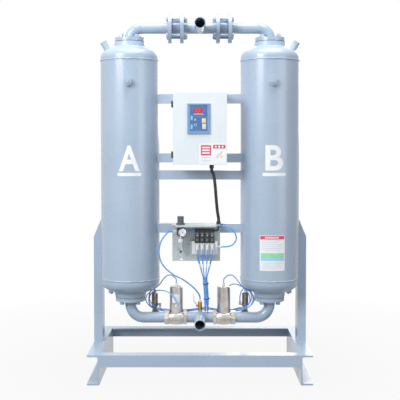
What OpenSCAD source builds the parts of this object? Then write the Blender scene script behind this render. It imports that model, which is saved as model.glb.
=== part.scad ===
// Twin-tower heatless desiccant dryer for compressed air, standing on a welded base.
// Millimetres, +Z up, front towards -Y, origin on the floor at the middle of the base.

/* [Base frame] */
// Depth of the base, front to back
base_d = 700; // [560:10:900]
// Height of the side rail channel
rail_h = 160; // [120:5:200]
// Flange width of the side rail channel
rail_flange = 65; // [55:1:80]
// Web thickness of the side rail channel
rail_web = 8.5; // [6:0.5:12]
// Flange thickness of the side rail channel
rail_flange_t = 10; // [7:0.5:14]
// Leg of the front and rear angle rails
angle_leg = 63; // [40:1:80]
// Thickness of the angle rails
angle_t = 6; // [4:0.5:10]
// Depth of the tower post channel
post_w = 100; // [80:1:120]
// Flange width of the tower post channel
post_flange = 48; // [35:1:54]
// Thickness of the tower post channel
post_t = 5.3; // [4:0.1:8]
// Height of the tower post above the side rail
post_h = 710; // [600:10:900]
// Drop of the slanted post top
post_slant = 114; // [20:2:180]
// Side of the square cross beams
beam_s = 50; // [44:1:56]
// Wall of the cross beams
beam_wall = 3; // [2:0.5:5]

/* [Towers] */
// Distance between the tower axes
tower_pitch = 778; // [760:2:820]
// Outside diameter of a tower
tower_od = 325; // [300:1:336]
// Wall of a tower
tower_wall = 8; // [6:0.5:10]
// Length of the tower shell between the head seams
shell_h = 1206; // [1150:2:1500]
// Distance of the tower axes ahead of the base centre
tower_ahead = 75; // [60:1:90]
// Straight skirt of a dished head
head_straight = 15; // [8:1:30]
// Depth of a dished head beyond its skirt
head_depth = 81; // [76:1:88]
// Knuckle radius of a dished head
knuckle_r = 46; // [42:1:50]
// Height of a collar face above the crown of its head
collar_stand = 9; // [6:1:14]
// Collar diameter at its flange face
collar_face_d = 168; // [160:1:175]
// Collar diameter where it meets the head
collar_root_d = 178; // [170:1:190]
// Height of the weld bead at the head seams
bead_r = 2.5; // [1.5:0.5:4]
// Gap left below the upper seam when a tower is filled
bed_ullage = 20; // [10:5:60]

/* [Piping] */
// Outside diameter of the main pipe
pipe_od = 60.3; // [57:0.1:62]
// Wall of the main pipe
pipe_wall = 3.5; // [2.5:0.1:5]
// Outside diameter of the flanges
flange_od = 165; // [160:1:170]
// Thickness of the flanges
flange_t = 20; // [16:1:24]
// Bolt circle of the flanges
flange_pcd = 125; // [120:1:128]
// Shank diameter of the flange bolts
bolt_d = 16; // [12:1:18]
// Thickness of the flange gaskets
gasket_t = 3; // [1.5:0.5:4]
// Height of the inlet pipe axis above the side rails
inlet_rise = 145; // [120:1:180]
// Distance from the inlet pipe axis to the lower tower flange
inlet_leg = 97; // [90:1:140]
// Bend radius of the lower elbows
inlet_elbow_r = 76; // [62:1:80]
// Distance from the upper tower flange to the outlet pipe axis
outlet_leg = 54; // [50:1:100]
// Bend radius of the upper elbows
outlet_elbow_r = 62; // [50:1:68]
// Distance of the valves from the middle
valve_x = 132.5; // [128:0.5:140]
// Distance from the header axis to the open end of a stub
stub_reach = 210; // [160:1:260]
// Distance from the header axis to the end of its tee branch
tee_reach = 64; // [55:1:80]

/* [Valves] */
// Face-to-face length of a check valve
check_len = 40; // [36:1:46]
// Outside diameter of a check valve body
check_d = 62; // [60:0.5:66]
// Radius of the swell of an inlet valve body
inlet_body_r = 41; // [40:0.5:43]
// Outside diameter of an inlet actuator
inlet_can_d = 74; // [70:1:78]
// Length of an inlet actuator without its cap
inlet_can_h = 134; // [110:1:150]
// Lift of an inlet valve
inlet_lift = 14; // [8:1:16]
// Distance of the exhaust valves from the middle
exhaust_x = 258; // [250:1:266]
// Distance of the exhaust valves behind the inlet pipe
exhaust_y = 80; // [76:1:86]
// Outside diameter of an exhaust actuator
exhaust_can_d = 36; // [34:1:38]
// Length of an exhaust actuator without its cap
exhaust_can_h = 70; // [60:1:80]
// Lift of an exhaust valve
exhaust_lift = 8; // [4:1:12]
// Length of a silencer barrel
silencer_len = 90; // [60:5:110]

/* [Control box] */
// Width of the control box
box_w = 285; // [260:1:300]
// Height of the control box
box_h = 382; // [340:2:420]
// Depth of the control box with its door
box_d = 160; // [130:1:200]
// Depth of the door pan
door_d = 17; // [14:1:24]
// Sheet thickness of the control box
box_sheet = 2; // [1.2:0.1:3]
// Height of the control box above the lower tower seams
box_rise = 635; // [600:5:700]
// Width of the controller bezel
panel_w = 120; // [100:1:130]
// Height of the controller bezel
panel_h = 160; // [140:1:180]

/* [Valve bracket] */
// Height of the valve beam above the lower tower seams
valve_beam_rise = 257; // [250:1:264]
// Width of the bracket
bracket_w = 264; // [260:1:280]
// Drop of the bracket plate below its roof
bracket_drop = 206; // [190:1:240]
// Depth of the bracket roof
roof_d = 100; // [96:1:120]
// Sheet thickness of the bracket
bracket_sheet = 2.5; // [1.5:0.5:3]
// Spacing of the solenoid valves
solenoid_pitch = 27; // [26:0.1:28]

/* [Hidden] */
$fn = 64;

// Clearances
weld_gap = 0.2;
slip = 0.05;
loose = 0.3;
bolt_play = 1;

// Heights that follow from the stack of pieces
tower_r = tower_od / 2;
tower_x = tower_pitch / 2;
tower_y = -tower_ahead;
knuckle_x = tower_r - knuckle_r;
crown_r = (pow(knuckle_x, 2) + pow(head_depth, 2) - pow(knuckle_r, 2)) / (2 * (head_depth - knuckle_r));
crown_drop = crown_r - head_depth;
crown_tilt = atan2(knuckle_x, crown_drop);
collar_reach = head_straight + head_depth + collar_stand;
inlet_z = rail_h + inlet_rise;
low_flange_z = inlet_z + inlet_leg;
low_face_z = low_flange_z + flange_t + gasket_t;
low_seam_z = low_face_z + collar_reach;
top_seam_z = low_seam_z + shell_h;
top_face_z = top_seam_z + collar_reach;
top_flange_z = top_face_z + gasket_t;
outlet_z = top_flange_z + flange_t + outlet_leg;

// Base frame places
post_x = tower_x + sqrt(pow(tower_r, 2) - pow(tower_ahead - post_w / 2, 2)) + weld_gap;
rail_x = post_x + post_flange - rail_flange;
beam_front = tower_y - beam_s - 10;
box_z = low_seam_z + box_rise;
upper_beam_z = box_z + box_h + 3 - beam_s;
middle_beam_z = box_z + 10;
lower_beam_z = box_z - 84;
valve_beam_z = low_seam_z + valve_beam_rise;
beam_heights = [upper_beam_z, middle_beam_z, lower_beam_z, valve_beam_z];

// Piping sizes
pipe_r = pipe_od / 2;
bore_r = pipe_r - pipe_wall;
check_gap = check_len + 2 * gasket_t;
check_face = valve_x + check_gap / 2;
bolt_r = bolt_d / 2;
bolt_af = 1.5 * bolt_d;
bolt_head_h = 10;
tower_head_h = 16;
nut_h = 13;
thread_depth = 18;
tower_gasket_d = 107;
valve_af = 70;
union_af = 71;

// Tower ports
fill_d = 37;
fill_tilt = crown_tilt - asin((fill_d / 2 + 1.5) / crown_r);
fill_len = 35;
fill_bore_r = 13.5;
drain_d = 34;
drain_tilt = asin((collar_root_d / 2 + drain_d / 2 + 1) / crown_r);
drain_len = 8;
drain_bore_r = 8;
gauge_port_drop = 125;
gauge_port_d = 45;
gauge_port_len = 25;
gauge_bore_r = 10;
ledge_w = 14;
ledge_h = 8;
screen_t = 5;

// Check valve works
seat_len = 12;
flap_seat_r = 15;
flap_r = 17.5;
flap_t = 3;
flap_bore_r = 25;
flap_pin_r = 2;
flap_pin_half = 18;
flap_knuckle_r = 3.2;
flap_pin_z = 19.5;
flap_pin_in = seat_len + flap_knuckle_r + 0.2;

// Inlet valve works, measured from the middle of the valve on the pipe axis
body_half = 59;
socket_depth = 12;
spigot_end = 52;
spigot_r = 32;
tail_r = 31.7;
tail_t = 6;
tail_x = spigot_end + 0.5;
nut_lip = 7;
bonnet_r = 33;
passage_r = 22;
passage_start = 22;
chamber_r = 19;
slot_half = 14;
seat_z = 4;
seat_r = 15;
plug_r = 17;
plug_h = 8;
bonnet_z = seat_z + plug_h + inlet_lift + 5;
stem_r = 5;
can_base = 8;
can_r = inlet_can_d / 2;
can_bore = can_r - 3;
cap_h = 10;
low_port_z = bonnet_z + can_base + 28;
piston_z = low_port_z + 12;
piston_h = 14;
port_r = 4;

// Exhaust valve works, measured from the middle of the valve
branch_r = 13.45;
branch_wall = 2.6;
ex_half = 26;
ex_socket = 10;
ex_body_r = 15;
ex_swell_r = 20;
ex_hex = 34;
ex_hex_len = 12;
ex_passage_r = 9;
ex_passage_start = 10;
ex_chamber_r = 8.5;
ex_seat_z = 2;
ex_seat_r = 6;
ex_plug_r = 7.5;
ex_plug_h = 5;
ex_stem_r = 3;
ex_neck_r = 13;
ex_guide = 18;
ex_neck_z = ex_seat_z + ex_plug_h + exhaust_lift + 15 + ex_guide;
ex_can_r = exhaust_can_d / 2;
ex_can_bore = ex_can_r - 2;
ex_can_base = 6;
ex_cap_h = 8;
ex_port_z = ex_neck_z + 12;
ex_piston_z = ex_port_z + 10;
ex_piston_h = 10;
silencer_r = 22;
silencer_wall = 3;

// Pilot valve works, measured from the inlet pipe axis
boss_r = 13;
boss_top = pipe_r + 11.85;
pilot_nipple_r = 6;
pilot_ball_z = boss_top + 24;
pilot_top = boss_top + 46;
pilot_ball_r = 7;
pilot_bore_r = 3.5;
pilot_stem_r = 3;
lever_w = 10;
lever_t = 2.5;

// Control box places
box_back = beam_front;
door_face = box_back - box_d;
door_back = door_face + door_d;
box_rim = door_back + loose;
hinge_r = 5.5;
hinge_h = 35;
hinge_x = -box_w / 2 - hinge_r;
hinge_drop = 60;
hinge_pin_r = 2;
panel_t = 8;
panel_back = 55;
panel_lap = 5;
panel_drop = 57;
panel_x = -7;
panel_rim = 14;
panel_brow = 7;

// Bracket places
bracket_back = beam_front;
bracket_face = bracket_back - bracket_sheet;
roof_top = valve_beam_z + beam_s;
roof_under = roof_top - bracket_sheet;
bracket_x = -21;
lip_h = 10;
corner_cut = 22;

// Regulator and gauge
reg_x = -106;
reg_y = tower_y - 110;
reg_w = 42;
reg_h = 54;
reg_neck_r = 14;
reg_port_z = roof_top - 36;
ring_d = 48;
ring_h = 8;
knob_d = 35;
knob_h = 37;
knob_shaft_r = 5;
bowl_r = 16;
bowl_wall = 2;
bowl_len = 74;
gauge_d = 50;
gauge_depth = 22;
gauge_x = reg_x + 11;
gauge_z = roof_top - 39;
gauge_stem = 6;

// Solenoid valve stack
solenoid_count = 4;
stack_x = 25.7;
stack_half = solenoid_pitch * solenoid_count / 2;
manifold_d = 20;
manifold_drop = 162;
manifold_z = roof_top - manifold_drop;
manifold_h = 60;
end_block_w = 16;
end_block_h = 71;
end_block_d = 42;
feed_port_z = manifold_z + 38;
valve_front = bracket_face - manifold_d - 30;
valve_h = 64;
valve_z = manifold_z - 4;
coil_z = valve_z + valve_h;
coil_h = 44;
plug_z = coil_z + coil_h;
hood_z = plug_z + 16;
hood_h = 15;
upper_row_z = manifold_z + 45;
lower_row_z = manifold_z + 20;

// Push-in fittings
sleeve_r = 6.5;
elbow_drop = 16;
upper_reach = 23.5;
lower_reach = 7.5;
fitting_len = 20;
small_fitting_len = 15;
port_elbow_reach = 15;

// Tubes and the cable conduit
supply_d = 8;
control_d = 6;
conduit_d = 18;
lead_d = 8;
ring_step = 9.3;
run_step = 3.9;
gland_inset = 79.5;
gland_back = 140;
box_gland = [box_w / 2 - gland_inset, tower_y - gland_back];
roof_gland = [102, tower_y - 82];
gland_r = 12;
gland_h = 20;
roof_gland_h = 15;
gland_hole_r = 9;

// Route points of the tubes: x, distance behind the tower axes, height
supply_route = [
    [0, 0, 408], [0, 0, 420], [-12, -14, 447], [-33, -27, 474], [-66, -41, 504],
    [-102, -55, 531], [-142, -70, 553], [-180, -85, 585], [-209, -95, 622],
    [-223, -100, 665], [-223, -105, 704], [-213, -108, 744], [-191, -110, 778],
    [-165, -110, 801], [-147, -110, 801]
];
feed_route = [
    [-65, -110, 801], [-53, -110, 801], [-41, -110, 807], [-28, -109, 817], [0, -105, 824],
    [60, -108, 824], [110, -108, 826], [137, -106, 826], [167, -102, 815],
    [190, -99, 791], [199, -96, 764], [192, -93, 739], [171, -91, 720],
    [138, -90, 713], [116, -90, 713]
];
cable_route = [
    [box_gland.x, -gland_back, 1145], [box_gland.x, -gland_back, 1132], [74, -138, 1108], [82, -132, 1052],
    [88, -116, 980], [95, -98, 910], [102, -82, 868], [102, -82, 852]
];
lead_route = [[102, -82, 832], [102, -82, 820], [98, -94, 805], [88, -98, 803], [80, -98, 803]];
// Bundle stations also give the tilt of the ring of tubes and how far its halves have parted
bundle_route = [
    [28, -102, 540, 10, 0.5], [31, -92, 500, 14, 0], [34, -77, 450, 18, 0], [36, -60, 400, 24, 0],
    [36, -43, 364, 42, 0.5], [35, -18, 352, 70, 2], [35, 14, 352, 90, 5]
];
// Run stations also give how far the tubes have turned from +Y to their side
left_run = [
    [12, 37, 347, 56], [-18, 49, 341, 73], [-50, 55, 335, 80], [-85, 60, 330, 86],
    [-132, 62, 329, 90], [-180, 62, 331, 90]
];
right_run = [
    [56, 37, 347, 52], [76, 49, 341, 66], [96, 55, 335, 74], [114, 60, 331, 81],
    [142, 62, 329, 90], [180, 62, 331, 90]
];
left_loops = [
    [
        [-225, 53, 335], [-262, 46, 345], [-290, 43, 366], [-306, 40, 394], [-301, 32, 420],
        [-280, 26, 445], [-255, 21, 463], [-232, 17, 483], [-213, 13, 507], [-199, 10, 526],
        [-180, 6, 541], [-157, 2, 540], [-136, 0, 524], [-132.5, 0, 511], [-132.5, 0, 500.05]
    ],
    [
        [-225, 52, 343], [-256, 42, 357], [-279, 31, 384], [-284, 20, 414], [-268, 5, 445],
        [-244, -10, 457], [-216, -25, 461], [-180, -40, 455], [-152, -49, 434],
        [-133, -52, 404], [-132.5, -52, 388]
    ],
    [
        [-218, 64, 330], [-262, 62, 345], [-284, 70, 360], [-293, 90, 390], [-287, 106, 425],
        [-274, 109, 454], [-267, 107, 470], [-260, 97, 478], [-258, 86, 474], [-258, 80.5, 462],
        [-258, 80, 446.05]
    ],
    [[-200, 72, 337], [-216, 78, 333], [-226, 80, 335], [-228, 80, 341], [-228, 80, 349]]
];
right_loops = [
    left_loops[0],
    [
        [-225, 52, 343], [-262, 47, 355], [-281, 45, 380], [-281, 44, 410], [-270, 44, 438],
        [-250, 46, 460], [-224, 48, 477], [-199, 50, 484], [-174, 53, 478], [-150, 54, 455],
        [-133, 52, 412], [-132.5, 52, 388]
    ],
    [
        [-218, 64, 330], [-264, 62, 344], [-290, 70, 360], [-304, 90, 390], [-296, 106, 425],
        [-278, 109, 454], [-268, 107, 470], [-260, 97, 478], [-258, 86, 474], [-258, 80.5, 462],
        [-258, 80, 446.05]
    ],
    [
        [-222, 61, 346], [-258, 57, 353], [-283, 55, 378], [-292, 55, 406], [-286, 55, 436],
        [-270, 58, 455], [-252, 64, 457], [-236, 74, 438], [-228, 80, 405], [-228, 80, 381]
    ]
];

// Helpers

module on_side(side) {
    if (side > 0) children();
    else mirror([1, 0, 0]) children();
}

module both_sides() {
    for (side = [-1, 1]) on_side(side) children();
}

module along_x() {
    rotate([0, 90, 0]) children();
}

module along_y() {
    rotate([-90, 0, 0]) children();
}

module ring(outer, inner, h) {
    difference() {
        cylinder(r = outer, h = h);
        translate([0, 0, -1]) cylinder(r = inner, h = h + 2);
    }
}

module hex_bar(af, h) {
    cylinder(r = af / 2 / cos(30), h = h, $fn = 6);
}

module bolt_circle() {
    for (i = [0 : 3]) rotate(45 + 90 * i) translate([flange_pcd / 2, 0, 0]) children();
}

// Channel with round inner corners, its web on the left

module channel_section(h, flange, web, flange_t) {
    r = web;
    difference() {
        square([flange, h]);
        translate([web + r, flange_t]) square([flange, h - 2 * flange_t]);
        translate([web, flange_t + r]) square([flange, h - 2 * (flange_t + r)]);
        for (y = [flange_t + r, h - flange_t - r]) translate([web + r, y]) circle(r = r);
    }
}

// Tube along route points

function spline_point(a, b, c, d, t) =
    0.5 * (2 * b + (c - a) * t + (2 * a - 5 * b + 4 * c - d) * t * t
        + (3 * b - a - 3 * c + d) * t * t * t);

// The first and the last stretch stay straight, so that the ends leave their fittings squarely
function smooth_route(p, n = 3) = [
    p[0],
    for (i = [1 : len(p) - 3]) for (k = [0 : n - 1])
        spline_point(p[i - 1], p[i], p[i + 1], p[i + 2], k / n),
    p[len(p) - 2],
    p[len(p) - 1]
];

function unit(v) = v / norm(v);

function headings(path) = [
    for (i = [0 : len(path) - 1])
        unit(path[min(i + 1, len(path) - 1)] - path[max(i - 1, 0)])
];

function carried(h, i, n) =
    i == len(h) ? [] : let (m = unit(n - (n * h[i]) * h[i])) concat([m], carried(h, i + 1, m));

function first_normal(h) = abs(h.x) < 0.8 ? [1, 0, 0] : [0, 0, 1];

function placed(route) = [for (p = route) [p.x, p.y + tower_y, p.z]];

module tube(path, d, sides = 8) {
    h = headings(path);
    n = carried(h, 0, first_normal(h[0]));
    points = [
        for (i = [0 : len(path) - 1]) for (k = [0 : sides - 1])
            let (a = 360 * k / sides)
            path[i] + d / 2 * (cos(a) * n[i] + sin(a) * cross(h[i], n[i]))
    ];
    walls = [
        for (i = [0 : len(path) - 2]) for (k = [0 : sides - 1])
            let (a = i * sides + k, b = i * sides + (k + 1) % sides)
            [a, a + sides, b + sides, b]
    ];
    last = (len(path) - 1) * sides;
    ends = [[for (k = [0 : sides - 1]) k], [for (k = [sides - 1 : -1 : 0]) last + k]];
    polyhedron(points = points, faces = concat(walls, ends), convexity = 10);
}

// Base frame

module side_rails() {
    color("lightsteelblue") both_sides()
        translate([rail_x, base_d / 2, 0]) rotate([90, 0, 0])
            linear_extrude(base_d)
                channel_section(rail_h, rail_flange, rail_web, rail_flange_t);
}

module angle_rail() {
    translate([-rail_x, -base_d / 2, rail_h - angle_leg]) cube([2 * rail_x, angle_t, angle_leg]);
    translate([-rail_x, -base_d / 2, rail_h - angle_t]) cube([2 * rail_x, angle_leg, angle_t]);
}

module front_rail() {
    color("lightsteelblue") angle_rail();
}

module rear_rail() {
    color("lightsteelblue") mirror([0, 1, 0]) angle_rail();
}

module posts() {
    color("lightsteelblue") both_sides() difference() {
        translate([post_x, 0, rail_h]) intersection() {
            translate([0, -post_w / 2, 0]) linear_extrude(post_h)
                channel_section(post_w, post_flange, post_t, post_t);
            translate([0, post_w, 0]) rotate([90, 0, 0]) linear_extrude(2 * post_w)
                polygon([
                    [0, 0], [post_flange, 0], [post_flange, post_h - post_slant], [0, post_h]
                ]);
        }
        translate([tower_x, tower_y, low_seam_z]) rotate_extrude($fn = 128)
            translate([tower_r, 0]) circle(r = bead_r + loose);
    }
}

module cross_beams() {
    color("lightsteelblue") for (z = beam_heights) difference() {
        translate([-tower_x, beam_front, z]) cube([tower_pitch, beam_s, beam_s]);
        translate([-tower_x - 1, beam_front + beam_wall, z + beam_wall])
            cube([tower_pitch + 2, beam_s - 2 * beam_wall, beam_s - 2 * beam_wall]);
        for (side = [-1, 1]) translate([side * tower_x, tower_y, z - 1])
            cylinder(r = tower_r + weld_gap, h = beam_s + 2);
    }
}

// Towers

// What lies outside a dished head, above its tangent line: the head is a spherical crown that runs
// into a round knuckle

module head_corner(inset) {
    reach = 2 * crown_r;
    far = [reach * sin(crown_tilt), reach * cos(crown_tilt)];
    difference() {
        square(reach);
        translate([0, -crown_drop]) circle(r = crown_r - inset);
    }
    translate([knuckle_x, 0]) difference() {
        polygon([[0, 0], [reach, 0], far]);
        circle(r = knuckle_r - inset);
    }
}

module vessel(inset) {
    low = low_seam_z - head_straight;
    high = top_seam_z + head_straight;
    rotate_extrude($fn = 128) difference() {
        translate([0, low - head_depth - 1]) square([tower_r - inset, high - low + 2 * head_depth + 2]);
        translate([0, high]) head_corner(inset);
        translate([0, low]) mirror([0, 1]) head_corner(inset);
    }
}

module collar_region() {
    root = head_straight + crown_r / 8;
    polygon([
        [0, root], [collar_root_d / 2, root], [collar_root_d / 2, collar_reach - 24],
        [collar_face_d / 2, collar_reach], [0, collar_reach]
    ]);
}

module tower(side) {
    color("lightsteelblue") translate([side * tower_x, tower_y, 0]) {
        difference() {
            union() {
                vessel(0);
                translate([0, 0, top_seam_z]) rotate(30) rotate_extrude() collar_region();
                translate([0, 0, low_seam_z]) mirror([0, 0, 1]) rotate(30) rotate_extrude() collar_region();
                for (z = [low_seam_z, top_seam_z]) translate([0, 0, z])
                    rotate_extrude($fn = 128) translate([tower_r, 0]) circle(r = bead_r);
                at_fill_port(side) port_boss(fill_d, fill_len);
                at_drain_port(side) port_boss(drain_d, drain_len);
                at_gauge_port() port_boss(gauge_port_d, gauge_port_len);
            }
            vessel(tower_wall);
            translate([0, 0, low_face_z - 1]) cylinder(r = bore_r, h = top_face_z - low_face_z + 2);
            at_fill_port(side) port_boss(2 * fill_bore_r, fill_len + 1);
            at_drain_port(side) port_boss(2 * drain_bore_r, drain_len + 1);
            at_gauge_port() port_boss(2 * gauge_bore_r, gauge_port_len + 1);
            for (z = [low_face_z - 1, top_face_z - thread_depth]) translate([0, 0, z]) bolt_circle()
                cylinder(r = bolt_r + slip, h = thread_depth + 1);
        }
        translate([0, 0, low_seam_z - ledge_h])
            ring(tower_r - tower_wall / 2, tower_r - tower_wall - ledge_w, ledge_h);
    }
}

module left_tower() {
    tower(-1);
}

module right_tower() {
    tower(1);
}

// The port frames have their origin on the outer skin, looking outwards

module at_fill_port(side) {
    translate([0, 0, top_seam_z + head_straight - crown_drop])
        rotate([0, side * fill_tilt, 0]) translate([0, 0, crown_r]) children();
}

module at_drain_port(side) {
    translate([0, 0, low_seam_z - head_straight + crown_drop])
        rotate([0, side * (180 - drain_tilt), 0]) translate([0, 0, crown_r]) children();
}

module at_gauge_port() {
    translate([0, 0, top_seam_z - gauge_port_drop])
        rotate([90, 0, 0]) translate([0, 0, tower_r]) children();
}

module port_boss(d, h) {
    root = 2 * tower_wall;
    translate([0, 0, -root]) cylinder(d = d, h = root + h);
}

module plug(shank_r, shank, af, head) {
    translate([0, 0, -shank]) cylinder(r = shank_r - slip, h = shank + 0.5);
    hex_bar(af, head);
}

module port_plugs() {
    color("silver") for (side = [-1, 1]) translate([side * tower_x, tower_y, 0]) {
        at_fill_port(side) translate([0, 0, fill_len]) plug(fill_bore_r, 20, 32, 14);
        at_drain_port(side) translate([0, 0, drain_len]) plug(drain_bore_r, 12, 22, 10);
        at_gauge_port() translate([0, 0, gauge_port_len]) plug(gauge_bore_r, 16, 22, 6);
    }
}

module desiccant_beds() {
    color("ivory") both_sides() translate([tower_x, tower_y, low_seam_z + screen_t])
        cylinder(r = tower_r - tower_wall - loose, h = shell_h - 2 * screen_t - bed_ullage);
}

module bed_screen() {
    rows = [[0, 1], [44, 6], [88, 12]];
    difference() {
        cylinder(r = tower_r - tower_wall - loose, h = screen_t);
        for (row = rows) for (i = [0 : row[1] - 1])
            rotate(360 * i / row[1]) translate([row[0], 0, -1]) cylinder(r = 9, h = screen_t + 2);
    }
}

module bed_screens() {
    color("gray") both_sides() for (z = [low_seam_z, top_seam_z - bed_ullage - screen_t])
        translate([tower_x, tower_y, z]) bed_screen();
}

module tower_gaskets() {
    color("dimgray") both_sides() for (z = [low_flange_z + flange_t, top_face_z])
        translate([tower_x, tower_y, z]) ring(tower_gasket_d / 2, bore_r + loose, gasket_t);
}

module tower_bolt() {
    translate([0, 0, -tower_head_h]) hex_bar(bolt_af, tower_head_h);
    cylinder(r = bolt_r, h = flange_t + gasket_t + thread_depth - 1);
}

module tower_flange_bolts() {
    color("silver") both_sides() translate([tower_x, tower_y, 0]) {
        translate([0, 0, low_flange_z]) bolt_circle() tower_bolt();
        translate([0, 0, top_flange_z + flange_t]) bolt_circle() mirror([0, 0, 1]) tower_bolt();
    }
}

// Piping

module flange_plate() {
    difference() {
        cylinder(d = flange_od, h = flange_t);
        translate([0, 0, -1]) bolt_circle() cylinder(r = bolt_r + bolt_play, h = flange_t + 2);
    }
}

// Pipe that rises along the tower axis and bends towards the middle at the pipe axis

module bent_pipe(r, bend, rise, run) {
    translate([0, 0, -rise]) cylinder(r = r, h = rise - bend);
    translate([-bend, 0, -bend]) rotate([90, 0, 0])
        rotate_extrude(angle = 90) translate([bend, 0]) circle(r = r);
    translate([-run, 0, 0]) along_x() cylinder(r = r, h = run - bend);
}

module outlet_spool(side) {
    rise = outlet_leg + flange_t;
    run = tower_x - check_face;
    color("lightsteelblue") on_side(side) translate([tower_x, tower_y, outlet_z]) difference() {
        union() {
            bent_pipe(pipe_r, outlet_elbow_r, rise, run);
            translate([0, 0, -rise]) flange_plate();
            translate([-run, 0, 0]) along_x() flange_plate();
        }
        bent_pipe(bore_r, outlet_elbow_r, rise + 1, run + 1);
    }
}

module left_outlet_spool() {
    outlet_spool(-1);
}

module right_outlet_spool() {
    outlet_spool(1);
}

module tee_pipe(r, half, reach) {
    translate([-half, 0, 0]) along_x() cylinder(r = r, h = 2 * half);
    mirror([0, 1, 0]) along_y() cylinder(r = r, h = reach);
}

module outlet_header() {
    half = valve_x - check_gap / 2;
    color("lightsteelblue") translate([0, tower_y, outlet_z]) difference() {
        union() {
            tee_pipe(pipe_r, half, tee_reach);
            both_sides() translate([half - flange_t, 0, 0]) along_x() flange_plate();
        }
        tee_pipe(bore_r, half + 1, tee_reach + 1);
    }
}

module stub_pipe(z) {
    translate([0, tower_y - stub_reach, z]) along_y() ring(pipe_r, bore_r, stub_reach - tee_reach);
}

module outlet_stub() {
    color("lightsteelblue") stub_pipe(outlet_z);
}

module inlet_stub() {
    color("lightsteelblue") stub_pipe(inlet_z);
}

module inlet_spool(side) {
    rise = inlet_leg + flange_t;
    run = tower_x - valve_x - tail_x;
    branch_end = exhaust_y - ex_half + ex_socket;
    color("lightsteelblue") on_side(side) translate([tower_x, tower_y, inlet_z]) difference() {
        union() {
            mirror([0, 0, 1]) bent_pipe(pipe_r, inlet_elbow_r, rise, run);
            translate([0, 0, inlet_leg]) flange_plate();
            translate([-run, 0, 0]) along_x() cylinder(r = tail_r, h = tail_t);
            translate([exhaust_x - tower_x, 0, 0]) along_y() cylinder(r = branch_r, h = branch_end);
        }
        mirror([0, 0, 1]) bent_pipe(bore_r, inlet_elbow_r, rise + 1, run + 1);
        translate([exhaust_x - tower_x, 0, 0]) along_y()
            cylinder(r = branch_r - branch_wall, h = branch_end + 1);
    }
}

module left_inlet_spool() {
    inlet_spool(-1);
}

module right_inlet_spool() {
    inlet_spool(1);
}

module inlet_header() {
    half = valve_x - body_half + socket_depth;
    color("lightsteelblue") translate([0, tower_y, inlet_z]) difference() {
        union() {
            tee_pipe(pipe_r, half, tee_reach);
            cylinder(r = boss_r, h = boss_top);
        }
        tee_pipe(bore_r, half + 1, tee_reach + 1);
        cylinder(r = pilot_nipple_r + slip, h = boss_top + 1);
    }
}

// Check valves, built from the tower side face towards the middle

module at_check_valve(side) {
    on_side(side) translate([valve_x + check_len / 2, tower_y, outlet_z]) rotate([0, -90, 0]) children();
}

module check_valve_bodies() {
    color("silver") for (side = [-1, 1]) at_check_valve(side) difference() {
        cylinder(d = check_d, h = check_len);
        translate([0, 0, -1]) cylinder(r = flap_seat_r, h = check_len + 2);
        translate([0, 0, seat_len]) cylinder(r = flap_bore_r, h = check_len);
        translate([flap_pin_z, 0, flap_pin_in]) along_y()
            cylinder(r = flap_pin_r + slip, h = 2 * flap_pin_half + 2 * loose, center = true);
    }
}

module check_flap(side) {
    color("gray") at_check_valve(side) {
        translate([0, 0, seat_len + slip]) cylinder(r = flap_r, h = flap_t);
        translate([0, -6, seat_len + slip]) cube([flap_pin_z - 1, 12, flap_t]);
        translate([flap_pin_z, 0, flap_pin_in]) along_y() {
            cylinder(r = flap_knuckle_r, h = 14, center = true);
            cylinder(r = flap_pin_r, h = 2 * flap_pin_half, center = true);
        }
    }
}

module left_check_flap() {
    check_flap(-1);
}

module right_check_flap() {
    check_flap(1);
}

module check_valve_gaskets() {
    color("dimgray") for (side = [-1, 1]) at_check_valve(side) for (z = [-gasket_t, check_len])
        translate([0, 0, z]) ring(check_d / 2, bore_r + loose, gasket_t);
}

module check_valve_bolts() {
    grip = check_gap + 2 * flange_t;
    color("silver") for (side = [-1, 1]) at_check_valve(side)
        translate([0, 0, -gasket_t - flange_t]) bolt_circle() {
            translate([0, 0, -bolt_head_h]) hex_bar(bolt_af, bolt_head_h);
            cylinder(r = bolt_r, h = grip + nut_h + 6);
            translate([0, 0, grip]) difference() {
                hex_bar(bolt_af, nut_h);
                translate([0, 0, -1]) cylinder(r = bolt_r + slip, h = nut_h + 2);
            }
        }
}

// Inlet valves: the middle of the header is towards -X here, the tower towards +X

module at_inlet_valve(side) {
    on_side(side) translate([valve_x, tower_y, inlet_z]) children();
}

module inlet_valve(side) {
    color("silver") at_inlet_valve(side) difference() {
        union() {
            sphere(r = inlet_body_r);
            translate([-body_half + 10, 0, 0]) along_x() cylinder(r = spigot_r, h = body_half + 30);
            translate([-body_half, 0, 0]) along_x() hex_bar(valve_af, 18);
            along_x() cylinder(r = spigot_r - 0.5, h = spigot_end);
            cylinder(r = bonnet_r, h = bonnet_z);
        }
        translate([-body_half - 1, 0, 0]) along_x() cylinder(r = pipe_r + slip, h = socket_depth + 1);
        translate([-body_half, 0, 0]) along_x() cylinder(r = passage_r, h = body_half - passage_start);
        translate([passage_start, 0, 0]) along_x() cylinder(r = passage_r, h = body_half);
        translate([0, 0, -chamber_r - 11]) cylinder(r = chamber_r, h = chamber_r + 8);
        translate([0, 0, -chamber_r]) cylinder(r = seat_r, h = 2 * chamber_r);
        translate([0, 0, seat_z]) cylinder(r = chamber_r, h = bonnet_z);
        translate([-30, -slot_half, -chamber_r]) cube([30, 2 * slot_half, chamber_r - 5]);
        translate([0, -slot_half, seat_z + 1]) cube([30, 2 * slot_half, chamber_r - 5]);
        translate([-inlet_body_r, -inlet_body_r, bonnet_z])
            cube([2 * inlet_body_r, 2 * inlet_body_r, inlet_body_r]);
    }
}

module left_inlet_valve() {
    inlet_valve(-1);
}

module right_inlet_valve() {
    inlet_valve(1);
}

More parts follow.
